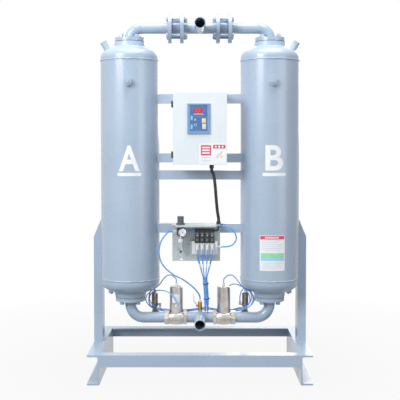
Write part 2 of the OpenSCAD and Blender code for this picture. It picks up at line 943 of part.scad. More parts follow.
module valve_union_nuts() {
    start = inlet_body_r;
    lip = tail_x + tail_t + loose;
    color("silver") for (side = [-1, 1]) at_inlet_valve(side) translate([start, 0, 0]) along_x()
        difference() {
            rotate(30) hex_bar(union_af, lip + nut_lip - start);
            translate([0, 0, -1]) cylinder(r = spigot_r + loose, h = lip - start + 1);
            cylinder(r = pipe_r + loose, h = lip + nut_lip);
        }
}

// Piston cylinder with a screwed cap, used by both sizes of actuator

module actuator(r, bore, base, h, cap, rod, port_z, port, port_side) {
    difference() {
        cylinder(r = r, h = h);
        translate([0, 0, base]) cylinder(r = bore, h = h);
        translate([0, 0, -1]) cylinder(r = rod + slip, h = base + 2);
        rotate(port_side) translate([bore - 2, 0, port_z]) along_x() cylinder(r = port, h = r);
    }
    translate([0, 0, h + slip]) difference() {
        union() {
            cylinder(r = r, h = cap - 4);
            translate([0, 0, cap - 4]) cylinder(r1 = r, r2 = r - 5, h = 4);
            translate([0, 0, -6]) cylinder(r = bore - slip, h = 7);
        }
        translate([0, 0, -7]) cylinder(r = port, h = cap + 8);
        translate([0, 0, -7]) cylinder(r = bore - 4, h = 7);
    }
}

module piston(plug_z, plug, plug_len, rod, disc_z, disc, disc_h) {
    translate([0, 0, plug_z + slip]) cylinder(r = plug, h = plug_len);
    translate([0, 0, plug_z + plug_len - 1]) cylinder(r = rod, h = disc_z - plug_z - plug_len + 2);
    translate([0, 0, disc_z]) cylinder(r = disc - slip, h = disc_h);
}

module inlet_actuator(side) {
    color("silver") at_inlet_valve(side) translate([0, 0, bonnet_z])
        actuator(can_r, can_bore, can_base, inlet_can_h, cap_h, stem_r,
            low_port_z - bonnet_z, port_r, side * 90);
}

module left_inlet_actuator() {
    inlet_actuator(-1);
}

module right_inlet_actuator() {
    inlet_actuator(1);
}

module inlet_piston(side) {
    color("gray") at_inlet_valve(side)
        piston(seat_z, plug_r, plug_h, stem_r, piston_z, can_bore, piston_h);
}

module left_inlet_piston() {
    inlet_piston(-1);
}

module right_inlet_piston() {
    inlet_piston(1);
}

// Exhaust valves: flow runs towards +Y

module at_exhaust_valve(side) {
    on_side(side) translate([exhaust_x, tower_y + exhaust_y, inlet_z]) children();
}

module exhaust_valves() {
    color("silver") for (side = [-1, 1]) at_exhaust_valve(side) difference() {
        union() {
            sphere(r = ex_swell_r);
            translate([0, -ex_half + 5, 0]) along_y() cylinder(r = ex_body_r, h = 2 * ex_half - 10);
            for (y = [-ex_half, ex_half - ex_hex_len]) translate([0, y, 0]) along_y() hex_bar(ex_hex, ex_hex_len);
            cylinder(r = ex_neck_r, h = ex_neck_z);
        }
        translate([0, -ex_half - 1, 0]) along_y() cylinder(r = branch_r + slip, h = ex_socket + 1);
        for (flip = [0, 1]) mirror([0, flip, 0]) translate([0, ex_passage_start, 0]) along_y()
            cylinder(r = ex_passage_r, h = ex_half);
        translate([0, 0, -14]) cylinder(r = ex_chamber_r, h = 14 - ex_seat_z);
        translate([0, 0, -5]) cylinder(r = ex_seat_r, h = 10);
        translate([0, 0, ex_seat_z]) cylinder(r = ex_chamber_r, h = ex_neck_z - ex_guide - ex_seat_z);
        cylinder(r = ex_stem_r + slip, h = ex_neck_z + 1);
        translate([-6, -14, -8]) cube([12, 14, 5.5]);
        translate([-6, 0, 2.5]) cube([12, 14, 5.5]);
    }
}

module exhaust_actuators() {
    color("silver") for (side = [-1, 1]) at_exhaust_valve(side) translate([0, 0, ex_neck_z])
        actuator(ex_can_r, ex_can_bore, ex_can_base, exhaust_can_h, ex_cap_h, ex_stem_r,
            ex_port_z - ex_neck_z, port_r - 1, 180);
}

module exhaust_piston(side) {
    color("gray") at_exhaust_valve(side)
        piston(ex_seat_z, ex_plug_r, ex_plug_h, ex_stem_r, ex_piston_z, ex_can_bore, ex_piston_h);
}

module left_exhaust_piston() {
    exhaust_piston(-1);
}

module right_exhaust_piston() {
    exhaust_piston(1);
}

module silencers() {
    color("goldenrod") for (side = [-1, 1]) at_exhaust_valve(side) translate([0, ex_half, 0]) along_y()
        difference() {
            union() {
                translate([0, 0, -10]) cylinder(r = ex_passage_r - slip, h = 12);
                hex_bar(30, 9);
                translate([0, 0, 8]) cylinder(r = silencer_r, h = silencer_len);
                translate([0, 0, 8 + silencer_len]) cylinder(r1 = silencer_r, r2 = silencer_r - 10, h = 12);
            }
            translate([0, 0, -11]) cylinder(r = 6, h = 21);
            translate([0, 0, 9]) cylinder(r = silencer_r - silencer_wall, h = silencer_len - 4);
        }
}

// Pilot air valve

module pilot_valve() {
    color("goldenrod") translate([0, tower_y, inlet_z]) difference() {
        union() {
            translate([0, 0, pipe_r]) cylinder(r = pilot_nipple_r, h = boss_top - pipe_r + 1);
            translate([0, 0, boss_top]) hex_bar(24, 11);
            translate([0, 0, boss_top + 10]) cylinder(r = 12, h = 27);
            translate([0, 0, boss_top + 36]) hex_bar(21, pilot_top - boss_top - 36);
            translate([-17, 0, pilot_ball_z]) along_x() cylinder(r = 6, h = 17);
        }
        cylinder(r = pilot_bore_r, h = pilot_top + 1);
        translate([0, 0, pilot_ball_z]) sphere(r = pilot_ball_r + slip);
        translate([-18, 0, pilot_ball_z]) along_x() cylinder(r = pilot_stem_r + slip, h = 18);
    }
}

module pilot_lever() {
    outline = [[-19, -7], [-21.5, -7], [-21.5, 6], [-36, 26], [-36, 62], [-33.5, 62], [-33.5, 27], [-19, 7]];
    color("darkseagreen") translate([0, tower_y, inlet_z + pilot_ball_z]) {
        difference() {
            sphere(r = pilot_ball_r);
            cylinder(r = pilot_bore_r, h = 4 * pilot_ball_r, center = true);
        }
        translate([-23, 0, 0]) along_x() cylinder(r = pilot_stem_r, h = 17.5);
        translate([0, lever_w / 2, 0]) rotate([90, 0, 0]) linear_extrude(lever_w) polygon(outline);
    }
}

// Control box

module control_box() {
    inner_w = box_w - 2 * box_sheet;
    inner_h = box_h - 2 * box_sheet;
    depth = box_back - box_rim;
    rim = 14;
    color("white") translate([-box_w / 2, box_rim, box_z]) difference() {
        cube([box_w, depth, box_h]);
        translate([box_sheet, box_sheet, box_sheet]) cube([inner_w, depth - 2 * box_sheet, inner_h]);
        translate([rim, -1, rim]) cube([box_w - 2 * rim, box_sheet + 2, box_h - 2 * rim]);
        translate([box_w / 2 + box_gland.x, box_gland.y - box_rim, -1])
            cylinder(r = gland_hole_r + slip, h = box_sheet + 2);
    }
}

module box_door() {
    color("white") {
        difference() {
            translate([-box_w / 2, door_face, box_z]) cube([box_w, door_d, box_h]);
            translate([-box_w / 2 + box_sheet, door_face + box_sheet, box_z + box_sheet])
                cube([box_w - 2 * box_sheet, door_d, box_h - 2 * box_sheet]);
            translate([panel_x - panel_w / 2 + panel_lap, door_face - 1, panel_z() + panel_lap])
                cube([panel_w - 2 * panel_lap, box_sheet + 2, panel_h - 2 * panel_lap]);
        }
        for (z = hinge_heights()) difference() {
            translate([hinge_x, door_back, z + hinge_h / 2 + loose / 2]) {
                cylinder(r = hinge_r - 0.5, h = hinge_h / 2 - loose / 2);
                translate([0, -7, 0]) cube([hinge_r, 7, hinge_h / 2 - loose / 2]);
            }
            translate([hinge_x, door_back, z]) cylinder(r = hinge_pin_r + slip, h = hinge_h - 3);
        }
    }
}

function hinge_heights() = [box_z + hinge_drop - 24, box_z + box_h - hinge_drop - hinge_h / 2];

function panel_z() = box_z + box_h - panel_drop - panel_h;

module door_hinges() {
    color("black") for (z = hinge_heights()) translate([hinge_x, door_back, z]) {
        cylinder(r = hinge_r - 0.5, h = hinge_h / 2 - loose / 2);
        translate([0, loose, 0]) cube([hinge_r, 12, hinge_h / 2 - loose / 2]);
        cylinder(r = hinge_pin_r, h = hinge_h - 4);
    }
}

module controller() {
    color("steelblue") translate([panel_x - panel_w / 2, door_face, panel_z()]) difference() {
        union() {
            translate([0, -panel_t, 0]) cube([panel_w, panel_t, panel_h]);
            translate([panel_lap + loose, -1, panel_lap + loose])
                cube([panel_w - 2 * (panel_lap + loose), panel_back, panel_h - 2 * (panel_lap + loose)]);
        }
        translate([panel_rim, -panel_t - 1, panel_rim])
            cube([panel_w - 2 * panel_rim, 3, panel_h - panel_rim - panel_brow]);
    }
}

module gland(h, shank) {
    ring(gland_r, conduit_d / 2 - 2, h);
    translate([0, 0, -shank]) ring(gland_hole_r, conduit_d / 2 - 2, shank + 1);
    translate([0, 0, -shank]) ring(gland_r, gland_hole_r - 1, shank / 2);
}

module cable_glands() {
    color("black") {
        translate([box_gland.x, box_gland.y, box_z]) mirror([0, 0, 1]) gland(gland_h, 2 * box_sheet);
        translate([roof_gland.x, roof_gland.y, roof_top]) gland(roof_gland_h, 2 * bracket_sheet);
    }
}

module control_cable() {
    color("black") tube(smooth_route(placed(cable_route)), conduit_d, 12);
}

module coil_lead() {
    color("black") tube(smooth_route(placed(lead_route)), lead_d);
}

// Valve bracket and what it carries

module valve_bracket() {
    left = bracket_x - bracket_w / 2;
    front = bracket_back - roof_d;
    color("lightgray") difference() {
        union() {
            translate([left, bracket_face, roof_top - bracket_drop])
                cube([bracket_w, bracket_sheet, bracket_drop]);
            translate([0, 0, roof_under]) linear_extrude(bracket_sheet) polygon([
                [left, bracket_back], [left, front + corner_cut], [left + corner_cut, front],
                [left + bracket_w - corner_cut, front], [left + bracket_w, front + corner_cut],
                [left + bracket_w, bracket_back]
            ]);
            translate([left + corner_cut, front, roof_top - lip_h])
                cube([bracket_w - 2 * corner_cut, bracket_sheet, lip_h]);
        }
        translate([reg_x, reg_y, roof_under - 1]) cylinder(r = reg_neck_r + loose, h = bracket_sheet + 2);
        translate([roof_gland.x, roof_gland.y, roof_under - 1])
            cylinder(r = gland_hole_r + slip, h = bracket_sheet + 2);
        translate([left + 42, bracket_face - 1, roof_top - bracket_drop + 5])
            cube([16, bracket_sheet + 2, 8]);
    }
}

module regulator_body() {
    color("dimgray") translate([reg_x, reg_y, 0]) {
        difference() {
            union() {
                translate([-reg_w / 2, -reg_w / 2, roof_under - reg_h]) cube([reg_w, reg_w, reg_h]);
                translate([0, 0, roof_under - 1]) cylinder(r = reg_neck_r, h = bracket_sheet + ring_h + 1);
            }
            translate([0, 0, roof_under]) cylinder(r = knob_shaft_r + slip, h = bracket_sheet + ring_h + 1);
        }
        translate([0, 0, roof_top]) ring(ring_d / 2, reg_neck_r + slip, ring_h);
    }
}

module regulator_knob() {
    grip_r = knob_d / 2;
    color("dimgray") translate([reg_x, reg_y, roof_top + ring_h + loose]) {
        difference() {
            cylinder(r = grip_r, h = knob_h);
            for (i = [0 : 11]) rotate(30 * i) translate([grip_r + 1.2, 0, 6]) cylinder(r = 2, h = knob_h);
        }
        translate([0, 0, -bracket_sheet - ring_h + 1]) cylinder(r = knob_shaft_r, h = ring_h + 4);
    }
}

module filter_bowl() {
    top = roof_under - reg_h;
    color("whitesmoke") translate([reg_x, reg_y, top - bowl_len]) difference() {
        union() {
            sphere(r = bowl_r);
            cylinder(r = bowl_r, h = bowl_len);
            translate([0, 0, bowl_len - 14]) cylinder(r = bowl_r + 3, h = 14);
        }
        sphere(r = bowl_r - bowl_wall);
        cylinder(r = bowl_r - bowl_wall, h = bowl_len + 1);
        translate([0, 0, -bowl_r - 1]) cylinder(r = 3, h = bowl_r);
    }
}

module filter_element() {
    color("white") translate([reg_x, reg_y, roof_under - reg_h - 44]) ring(9, 5, 44);
}

module bowl_drain() {
    color("black") translate([reg_x, reg_y, roof_under - reg_h - bowl_len - bowl_r]) {
        translate([0, 0, -8]) cylinder(r = 6, h = 8);
        translate([0, 0, -1]) cylinder(r = 3 - slip, h = 6);
    }
}

module pressure_gauge() {
    color("white") translate([gauge_x, reg_y - reg_w / 2, gauge_z]) rotate([90, 0, 0]) {
        cylinder(r = 6, h = gauge_stem + 1);
        translate([0, 0, gauge_stem]) difference() {
            cylinder(d = gauge_d, h = gauge_depth);
            translate([0, 0, gauge_depth - 3]) cylinder(d = gauge_d - 6, h = 4);
        }
    }
}

module valve_manifold() {
    color("whitesmoke") {
        translate([stack_x - stack_half, bracket_face - manifold_d, manifold_z])
            cube([2 * stack_half, manifold_d, manifold_h]);
        for (side = [-1, 1])
            translate([stack_x + side * (stack_half + slip + end_block_w / 2) - end_block_w / 2,
                bracket_face - end_block_d, manifold_z])
                cube([end_block_w, end_block_d, end_block_h]);
    }
}

module at_solenoids() {
    for (i = [0 : solenoid_count - 1])
        translate([stack_x + (i - (solenoid_count - 1) / 2) * solenoid_pitch, 0, 0]) children();
}

module solenoid_valves() {
    w = solenoid_pitch - 2;
    color("silver") at_solenoids() difference() {
        translate([-w / 2, valve_front, valve_z]) cube([w, 30, valve_h]);
        for (z = [upper_row_z, lower_row_z]) translate([0, valve_front + 6, z]) rotate([90, 0, 0])
            cylinder(r = 4, h = 8);
        for (side = [-1, 1]) translate([side * w / 2, valve_front - 1, valve_z + valve_h - 10])
            cube([4, 62, 3], center = true);
    }
}

module solenoid_coils() {
    w = solenoid_pitch - 4;
    color("black") {
        at_solenoids() {
            translate([-w / 2, valve_front + 1, coil_z]) cube([w, 28, coil_h]);
            translate([-w / 2 + 2, valve_front + 3, plug_z]) cube([w - 4, 24, hood_z - plug_z]);
        }
        translate([stack_x - stack_half, valve_front + 3, hood_z + slip]) cube([2 * stack_half, 24, hood_h]);
    }
}

// Push-in fittings: the face they screw into is at z = 0

module straight_fitting(h) {
    hex_bar(13, 7);
    translate([0, 0, 6]) cylinder(r = sleeve_r, h = h - 6);
}

module elbow_fitting(reach, turn) {
    cylinder(r = sleeve_r - 1, h = reach);
    translate([0, 0, reach]) rotate([0, 0, turn]) {
        sphere(r = sleeve_r);
        along_x() cylinder(r = sleeve_r, h = elbow_drop);
    }
}

module push_fittings() {
    color("gainsboro") {
        at_solenoids() {
            translate([0, valve_front, upper_row_z]) rotate([90, 0, 0]) elbow_fitting(upper_reach, -90);
            translate([0, valve_front, lower_row_z]) rotate([90, 0, 0]) elbow_fitting(lower_reach, -90);
        }
        translate([reg_x - reg_w / 2, reg_y, reg_port_z]) rotate([0, -90, 0]) straight_fitting(fitting_len);
        translate([reg_x + reg_w / 2, reg_y, reg_port_z]) along_x() straight_fitting(fitting_len);
        translate([stack_x + stack_half + slip + end_block_w, bracket_face - manifold_d - 7.5, feed_port_z])
            along_x() straight_fitting(fitting_len);
        translate([0, tower_y, inlet_z + pilot_top]) straight_fitting(small_fitting_len);
        for (side = [-1, 1]) {
            at_inlet_valve(side) {
                translate([0, 0, bonnet_z + inlet_can_h + slip + cap_h]) straight_fitting(fitting_len);
                translate([0, side * can_r, low_port_z]) rotate([-90 * side, 0, 0])
                    elbow_fitting(port_elbow_reach, -90 * side);
            }
            at_exhaust_valve(side) {
                translate([0, 0, ex_neck_z + exhaust_can_h + slip + ex_cap_h]) straight_fitting(small_fitting_len);
                translate([-ex_can_r, 0, ex_port_z]) rotate([0, -90, 0])
                    elbow_fitting(12, side > 0 ? 0 : 180);
            }
        }
    }
}

// Tubes

module supply_tube() {
    color("royalblue") tube(smooth_route(placed(supply_route)), supply_d);
}

module feed_tube() {
    color("royalblue") tube(smooth_route(placed(feed_route)), supply_d);
}

// Each half of the ring of eight goes to one side: place across the bundle, then in the run
slot_angles = [112.5, 157.5, 202.5, 247.5];
slot_in_run = [[1, -1], [-1, -1], [-1, 1], [1, 1]];
// Fitting of each slot: solenoid counted from the middle, row
slot_fitting = [[0, 1], [1, 1], [1, 0], [0, 0]];
// Loop that each slot feeds
slot_loop = [2, 0, 1, 3];

function fan_points(slot, side) =
    let (
        f = slot_fitting[slot],
        x = stack_x + side * (f[0] + 0.5) * solenoid_pitch,
        reach = f[1] ? upper_reach : lower_reach,
        y = valve_front - reach,
        z = (f[1] ? upper_row_z : lower_row_z) - elbow_drop
    )
    [[x, y, z], [x, y, z - 20]];

function bundle_points(slot, side) = [
    for (b = bundle_route)
        [b.x + side * b[4], b.y + tower_y, b.z] + ring_step * (
            -side * cos(slot_angles[slot]) * [1, 0, 0]
            + sin(slot_angles[slot]) * [0, -cos(b[3]), -sin(b[3])])
];

function run_points(slot, side) = [
    for (p = side > 0 ? right_run : left_run)
        [p.x, p.y + tower_y, p.z] + run_step * (
            slot_in_run[slot][0] * [-side * cos(p[3]), sin(p[3]), 0]
            + slot_in_run[slot][1] * [0, 0, 1])
];

function loop_points(slot, side) = [
    for (p = (side > 0 ? right_loops : left_loops)[slot_loop[slot]])
        [-side * p.x, p.y + tower_y, p.z]
];

function control_path(slot, side) = smooth_route(concat(
    fan_points(slot, side), bundle_points(slot, side), run_points(slot, side), loop_points(slot, side)
), 2);

module control_tubes() {
    color("royalblue") for (side = [-1, 1]) for (slot = [0 : 3]) tube(control_path(slot, side), control_d);
}

side_rails();
front_rail();
rear_rail();
posts();
cross_beams();
left_tower();
right_tower();
desiccant_beds();
bed_screens();
port_plugs();
tower_gaskets();
tower_flange_bolts();
left_outlet_spool();
right_outlet_spool();
outlet_header();
outlet_stub();
check_valve_bodies();
left_check_flap();
right_check_flap();
check_valve_gaskets();
check_valve_bolts();
left_inlet_spool();
right_inlet_spool();
inlet_header();
inlet_stub();
left_inlet_valve();
right_inlet_valve();
left_inlet_actuator();
right_inlet_actuator();
left_inlet_piston();
right_inlet_piston();
valve_union_nuts();
exhaust_valves();
exhaust_actuators();
left_exhaust_piston();
right_exhaust_piston();
silencers();
pilot_valve();
pilot_lever();
control_box();
box_door();
door_hinges();
controller();
cable_glands();
control_cable();
coil_lead();
valve_bracket();
regulator_body();
filter_bowl();
filter_element();
bowl_drain();
regulator_knob();
pressure_gauge();
valve_manifold();
solenoid_valves();
solenoid_coils();
push_fittings();
supply_tube();
feed_tube();
control_tubes();
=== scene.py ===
import math
import bpy
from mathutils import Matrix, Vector


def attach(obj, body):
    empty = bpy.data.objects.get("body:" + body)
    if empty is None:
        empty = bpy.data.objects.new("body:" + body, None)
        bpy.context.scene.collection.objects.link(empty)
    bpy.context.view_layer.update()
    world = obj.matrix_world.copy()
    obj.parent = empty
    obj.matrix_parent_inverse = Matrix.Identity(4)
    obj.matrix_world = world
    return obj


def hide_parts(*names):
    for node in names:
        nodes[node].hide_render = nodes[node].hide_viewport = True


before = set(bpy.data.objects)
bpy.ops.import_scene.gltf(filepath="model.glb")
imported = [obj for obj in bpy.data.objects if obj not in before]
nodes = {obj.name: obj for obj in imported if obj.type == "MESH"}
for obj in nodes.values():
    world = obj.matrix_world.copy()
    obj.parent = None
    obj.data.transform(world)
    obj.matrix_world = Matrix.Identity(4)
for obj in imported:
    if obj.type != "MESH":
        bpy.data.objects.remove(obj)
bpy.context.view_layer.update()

mm = 0.001
scene = bpy.context.scene
scene.view_settings.view_transform = "Standard"
tower = {"x": 389, "y": -75, "radius": 162.5}  # axis and shell of each tower, in millimetres


def hexColor(code):  # sRGB hex to linear
    parts = [int(code[i:i + 2], 16) / 255 for i in (0, 2, 4)]
    return [c / 12.92 if c <= 0.04045 else ((c + 0.055) / 1.055) ** 2.4 for c in parts] + [1.0]


def addNode(tree, kind, inputs=None, **settings):  # a value is set, a socket is linked
    node = tree.nodes.new(kind)
    for name, value in settings.items():
        setattr(node, name, value)
    for name, value in (inputs or {}).items():
        if isinstance(value, bpy.types.NodeSocket):
            tree.links.new(value, node.inputs[name])
        else:
            node.inputs[name].default_value = value
    return node


def only(piece):  # the one selected and active object
    bpy.ops.object.select_all(action="DESELECT")
    piece.select_set(True)
    bpy.context.view_layer.objects.active = piece


def added(make, **settings):  # a new object, with nothing else selected
    bpy.ops.object.select_all(action="DESELECT")
    make(**settings)
    return bpy.context.object


def inEdit(piece):  # edit mode with the whole mesh selected
    only(piece)
    bpy.ops.object.mode_set(mode="EDIT")
    bpy.ops.mesh.select_all(action="SELECT")


def leaveEdit():
    bpy.ops.object.mode_set(mode="OBJECT")


def applyPlace():  # the active object's place goes into its mesh
    bpy.ops.object.transform_apply(location=True, rotation=True, scale=True)


# camera

photoCamera = {
    "place": (0, -4.575, 1.261),
    "pitchDown": 1.85,
    "lens": 72.6,
    "sensor": 36,
    "shift": (0, -0.0678),
}


def makeCamera():
    data = bpy.data.cameras.new("photoCamera")
    data.lens = photoCamera["lens"]
    data.sensor_width = photoCamera["sensor"]
    data.shift_x, data.shift_y = photoCamera["shift"]
    camera = bpy.data.objects.new("photoCamera", data)
    scene.collection.objects.link(camera)
    camera.location = photoCamera["place"]
    camera.rotation_euler = (math.radians(90 - photoCamera["pitchDown"]), 0, 0)
    scene.camera = camera


makeCamera()
print("camera set")


# cords: routes in millimetres, x, distance behind the tower axes, height

cordSizes = {
    "supply": 8, "control": 6, "conduit": 18, "lead": 8,  # diameters
    "steps": 8, "roundness": 4,
    "ribStep": 2.2, "ribDepth": 0.14,  # half the spacing of the ribs, share of the radius
}
supplyRoute = [
    [0, 0, 408], [0, 0, 420], [-12, -14, 447], [-33, -27, 474], [-66, -41, 504],
    [-102, -55, 531], [-142, -70, 553], [-180, -85, 585], [-209, -95, 622],
    [-223, -100, 665], [-223, -105, 704], [-213, -108, 744], [-191, -110, 778],
    [-165, -110, 801], [-147, -110, 801],
]
feedRoute = [
    [-65, -110, 801], [-53, -110, 801], [-41, -110, 807], [-28, -109, 817], [0, -105, 824],
    [60, -108, 824], [110, -108, 826], [137, -106, 826], [167, -102, 815],
    [190, -99, 791], [199, -96, 764], [192, -93, 739], [171, -91, 720],
    [138, -90, 713], [116, -90, 713],
]
cableRoute = [
    [63, -140, 1145], [63, -140, 1132], [74, -138, 1108], [82, -132, 1052],
    [88, -116, 980], [95, -98, 910], [102, -82, 868], [102, -82, 852],
]
leadRoute = [[102, -82, 832], [102, -82, 820], [98, -94, 805], [88, -98, 803], [80, -98, 803]]
bundleRoute = [  # with the tilt of the ring of tubes and how far its halves have parted
    [28, -102, 540, 10, 0.5], [31, -92, 500, 14, 0], [34, -77, 450, 18, 0], [36, -60, 400, 24, 0],
    [36, -43, 364, 42, 0.5], [35, -18, 352, 70, 2], [35, 14, 352, 90, 5],
]
leftRun = [  # with how far the tubes have turned to their side
    [12, 37, 347, 56], [-18, 49, 341, 73], [-50, 55, 335, 80], [-85, 60, 330, 86],
    [-132, 62, 329, 90], [-180, 62, 331, 90],
]
rightRun = [
    [56, 37, 347, 52], [76, 49, 341, 66], [96, 55, 335, 74], [114, 60, 331, 81],
    [142, 62, 329, 90], [180, 62, 331, 90],
]
topLoop = [
    [-225, 53, 335], [-262, 46, 345], [-290, 43, 366], [-306, 40, 394], [-301, 32, 420],
    [-280, 26, 445], [-255, 21, 463], [-232, 17, 483], [-213, 13, 507], [-199, 10, 526],
    [-180, 6, 541], [-157, 2, 540], [-136, 0, 524], [-132.5, 0, 511], [-132.5, 0, 500.05],
]
leftLoops = [
    topLoop,
    [
        [-225, 52, 343], [-256, 42, 357], [-279, 31, 384], [-284, 20, 414], [-268, 5, 445],
        [-244, -10, 457], [-216, -25, 461], [-180, -40, 455], [-152, -49, 434],
        [-133, -52, 404], [-132.5, -52, 388],
    ],
    [
        [-218, 64, 330], [-262, 62, 345], [-284, 70, 360], [-293, 90, 390], [-287, 106, 425],
        [-274, 109, 454], [-267, 107, 470], [-260, 97, 478], [-258, 86, 474], [-258, 80.5, 462],
        [-258, 80, 446.05],
    ],
    [[-200, 72, 337], [-216, 78, 333], [-226, 80, 335], [-228, 80, 341], [-228, 80, 349]],
]
rightLoops = [
    topLoop,
    [
        [-225, 52, 343], [-262, 47, 355], [-281, 45, 380], [-281, 44, 410], [-270, 44, 438],
        [-250, 46, 460], [-224, 48, 477], [-199, 50, 484], [-174, 53, 478], [-150, 54, 455],
        [-133, 52, 412], [-132.5, 52, 388],
    ],
    [
        [-218, 64, 330], [-264, 62, 344], [-290, 70, 360], [-304, 90, 390], [-296, 106, 425],
        [-278, 109, 454], [-268, 107, 470], [-260, 97, 478], [-258, 86, 474], [-258, 80.5, 462],
        [-258, 80, 446.05],
    ],
    [
        [-222, 61, 346], [-258, 57, 353], [-283, 55, 378], [-292, 55, 406], [-286, 55, 436],
        [-270, 58, 455], [-252, 64, 457], [-236, 74, 438], [-228, 80, 405], [-228, 80, 381],
    ],
]
harness = {
    "ringStep": 9.3, "runStep": 3.9,
    "angles": [112.5, 157.5, 202.5, 247.5],
    "inRun": [[1, -1], [-1, -1], [-1, 1], [1, 1]],
    "fitting": [[0, 1], [1, 1], [1, 0], [0, 0]],  # valve counted from the middle, row
    "loop": [2, 0, 1, 3],
    "stackX": 25.7, "pitch": 27,
    "front": -187.5, "reach": [7.5, 23.5], "rowZ": [679, 704], "drop": 20,
}


def placedPoints(route):  # to metres, in the shared frame
    return [Vector((p[0], p[1] + tower["y"], p[2])) * mm for p in route]


def smoothRoute(p, steps=cordSizes["steps"]):  # straight first and last stretch, a spline between
    path = [p[0]]
    for i in range(1, len(p) - 2):
        a, b, c, d = p[i - 1:i + 3]
        for k in range(steps):
            t = k / steps
            path.append(0.5 * (2 * b + (c - a) * t + (2 * a - 5 * b + 4 * c - d) * t ** 2
                               + (3 * b - a - 3 * c + d) * t ** 3))
    return path + [p[-2], p[-1]]


def controlRoute(slot, side):
    valve, row = harness["fitting"][slot]
    x = harness["stackX"] + side * (valve + 0.5) * harness["pitch"]
    y = harness["front"] - harness["reach"][row] - tower["y"]
    z = harness["rowZ"][row]
    route = [[x, y, z], [x, y, z - harness["drop"]]]
    angle = math.radians(harness["angles"][slot])
    for bx, by, bz, tilt, parted in bundleRoute:
        lean = math.radians(tilt)
        route.append([
            bx + side * parted - side * harness["ringStep"] * math.cos(angle),
            by - harness["ringStep"] * math.sin(angle) * math.cos(lean),
            bz - harness["ringStep"] * math.sin(angle) * math.sin(lean),
        ])
    across, up = harness["inRun"][slot]
    for rx, ry, rz, turn in rightRun if side > 0 else leftRun:
        t = math.radians(turn)
        route.append([
            rx - side * across * harness["runStep"] * math.cos(t),
            ry + across * harness["runStep"] * math.sin(t),
            rz + up * harness["runStep"],
        ])
    loops = rightLoops if side > 0 else leftLoops
    return route + [[-side * p[0], p[1], p[2]] for p in loops[harness["loop"][slot]]]


def tubeAlong(name, path, radius, roundness, capped, ripple=0):  # ripple draws in every second ring
    curve = bpy.data.curves.new(name, "CURVE")
    curve.dimensions = "3D"
    curve.bevel_depth = radius
    curve.bevel_resolution = roundness
    curve.use_fill_caps = capped
    spline = curve.splines.new("POLY")
    spline.points.add(len(path) - 1)
    for i, point in enumerate(path):
        spline.points[i].co = (*point, 1)
        spline.points[i].radius = 1 - ripple * (i % 2)
    spline.use_smooth = True
    tube = bpy.data.objects.new(name, curve)
    scene.collection.objects.link(tube)
    only(tube)
    bpy.ops.object.convert(target="MESH")
    return tube


def makeCord(name, path, diameter, cadNode, ripple=0):
    cord = tubeAlong(name, path, diameter / 2, cordSizes["roundness"], True, ripple)
    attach(cord, "stand")
    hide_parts(cadNode)
    return cord


sleeve = {"height": 612, "length": 20, "radius": 4.1, "lip": 0.7, "sides": 20, "smooth": 40}


def markerSleeve(name, path):  # heat-shrink marker pushed over a tube of the fan
    k = min(range(len(path) - 1), key=lambda n: abs(path[n].z - sleeve["height"] * mm))
    heading = (path[k + 1] - path[k]).normalized()
    piece = added(
        bpy.ops.mesh.primitive_cylinder_add, vertices=sleeve["sides"], radius=sleeve["radius"] * mm,
        depth=sleeve["length"] * mm, location=path[k], rotation=heading.to_track_quat("Z", "X").to_euler())
    applyPlace()
    inEdit(piece)
    bpy.ops.mesh.bevel(offset=sleeve["lip"] * mm, segments=2, affect="EDGES")
    leaveEdit()
    bpy.ops.object.shade_smooth_by_angle(angle=math.radians(sleeve["smooth"]))
    piece.name = name
    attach(piece, "stand")
    return piece


def evenSteps(path, step):  # points at an even spacing along a path
    even, left = [path[0]], step
    for a, b in zip(path, path[1:]):
        run = (b - a).length
        while run > 0 and left <= run:
            even.append(a + (b - a) * (left / run))
            left += step
        left -= run
    return even + ([path[-1]] if (even[-1] - path[-1]).length > step / 4 else [])


airTubes = [("supplyTube", supplyRoute, "supply_tube"), ("feedTube", feedRoute, "feed_tube")]
blueCords, markers = [], []
for name, route, cadNode in airTubes:
    path = smoothRoute(placedPoints(route))
    blueCords.append(makeCord(name, path, cordSizes["supply"] * mm, cadNode))
for side, letter in ((-1, "L"), (1, "R")):
    for slot in range(len(harness["fitting"])):
        path = smoothRoute(placedPoints(controlRoute(slot, side)))
        marker = markerSleeve(f"controlSleeve{letter}{slot}", path)
        markers.append(marker)
        blueCords.append(makeCord(f"controlTube{letter}{slot}", path, cordSizes["control"] * mm,
                                  "control_tubes"))
ribs = evenSteps(smoothRoute(placedPoints(cableRoute)), cordSizes["ribStep"] * mm)
conduit = makeCord("cableConduit", ribs, cordSizes["conduit"] * mm, "control_cable",
                   ripple=cordSizes["ribDepth"])
leadPath = smoothRoute(placedPoints(leadRoute))
lead = makeCord("coilLead", leadPath, cordSizes["lead"] * mm, "coil_lead")
blackCords = [conduit, lead]
print("cords laid:", len(blueCords + blackCords))


# stage: pale floor, white surroundings, soft lamps

stageSpec = {
    "floor": "7A7C7E", "floorSize": 60, "floorDrop": 0.0005,
    "sweep": (0.8, 2.6, 0.92),  # shadow kept inside the first distance, plain white past the second
    "sky": (0.95, 0.98, 1.0, 1), "ambient": 0.29, "plain": (1, 1, 1, 1),
    "lamps": [  # name, place, aim, width, watts
        ("keyLamp", (-3.4, -4.2, 3.4), (0, 0, 1.0), 2.6, 252),
        ("topLamp", (0.3, -0.8, 5.2), (0, 0, 1.0), 3.4, 185),
        ("fillLamp", (3.8, -3.6, 1.6), (0.2, 0, 1.0), 2.6, 46),
        ("backLamp", (1.4, 4.2, 2.6), (0, 0, 1.0), 2.6, 60),
    ],
}


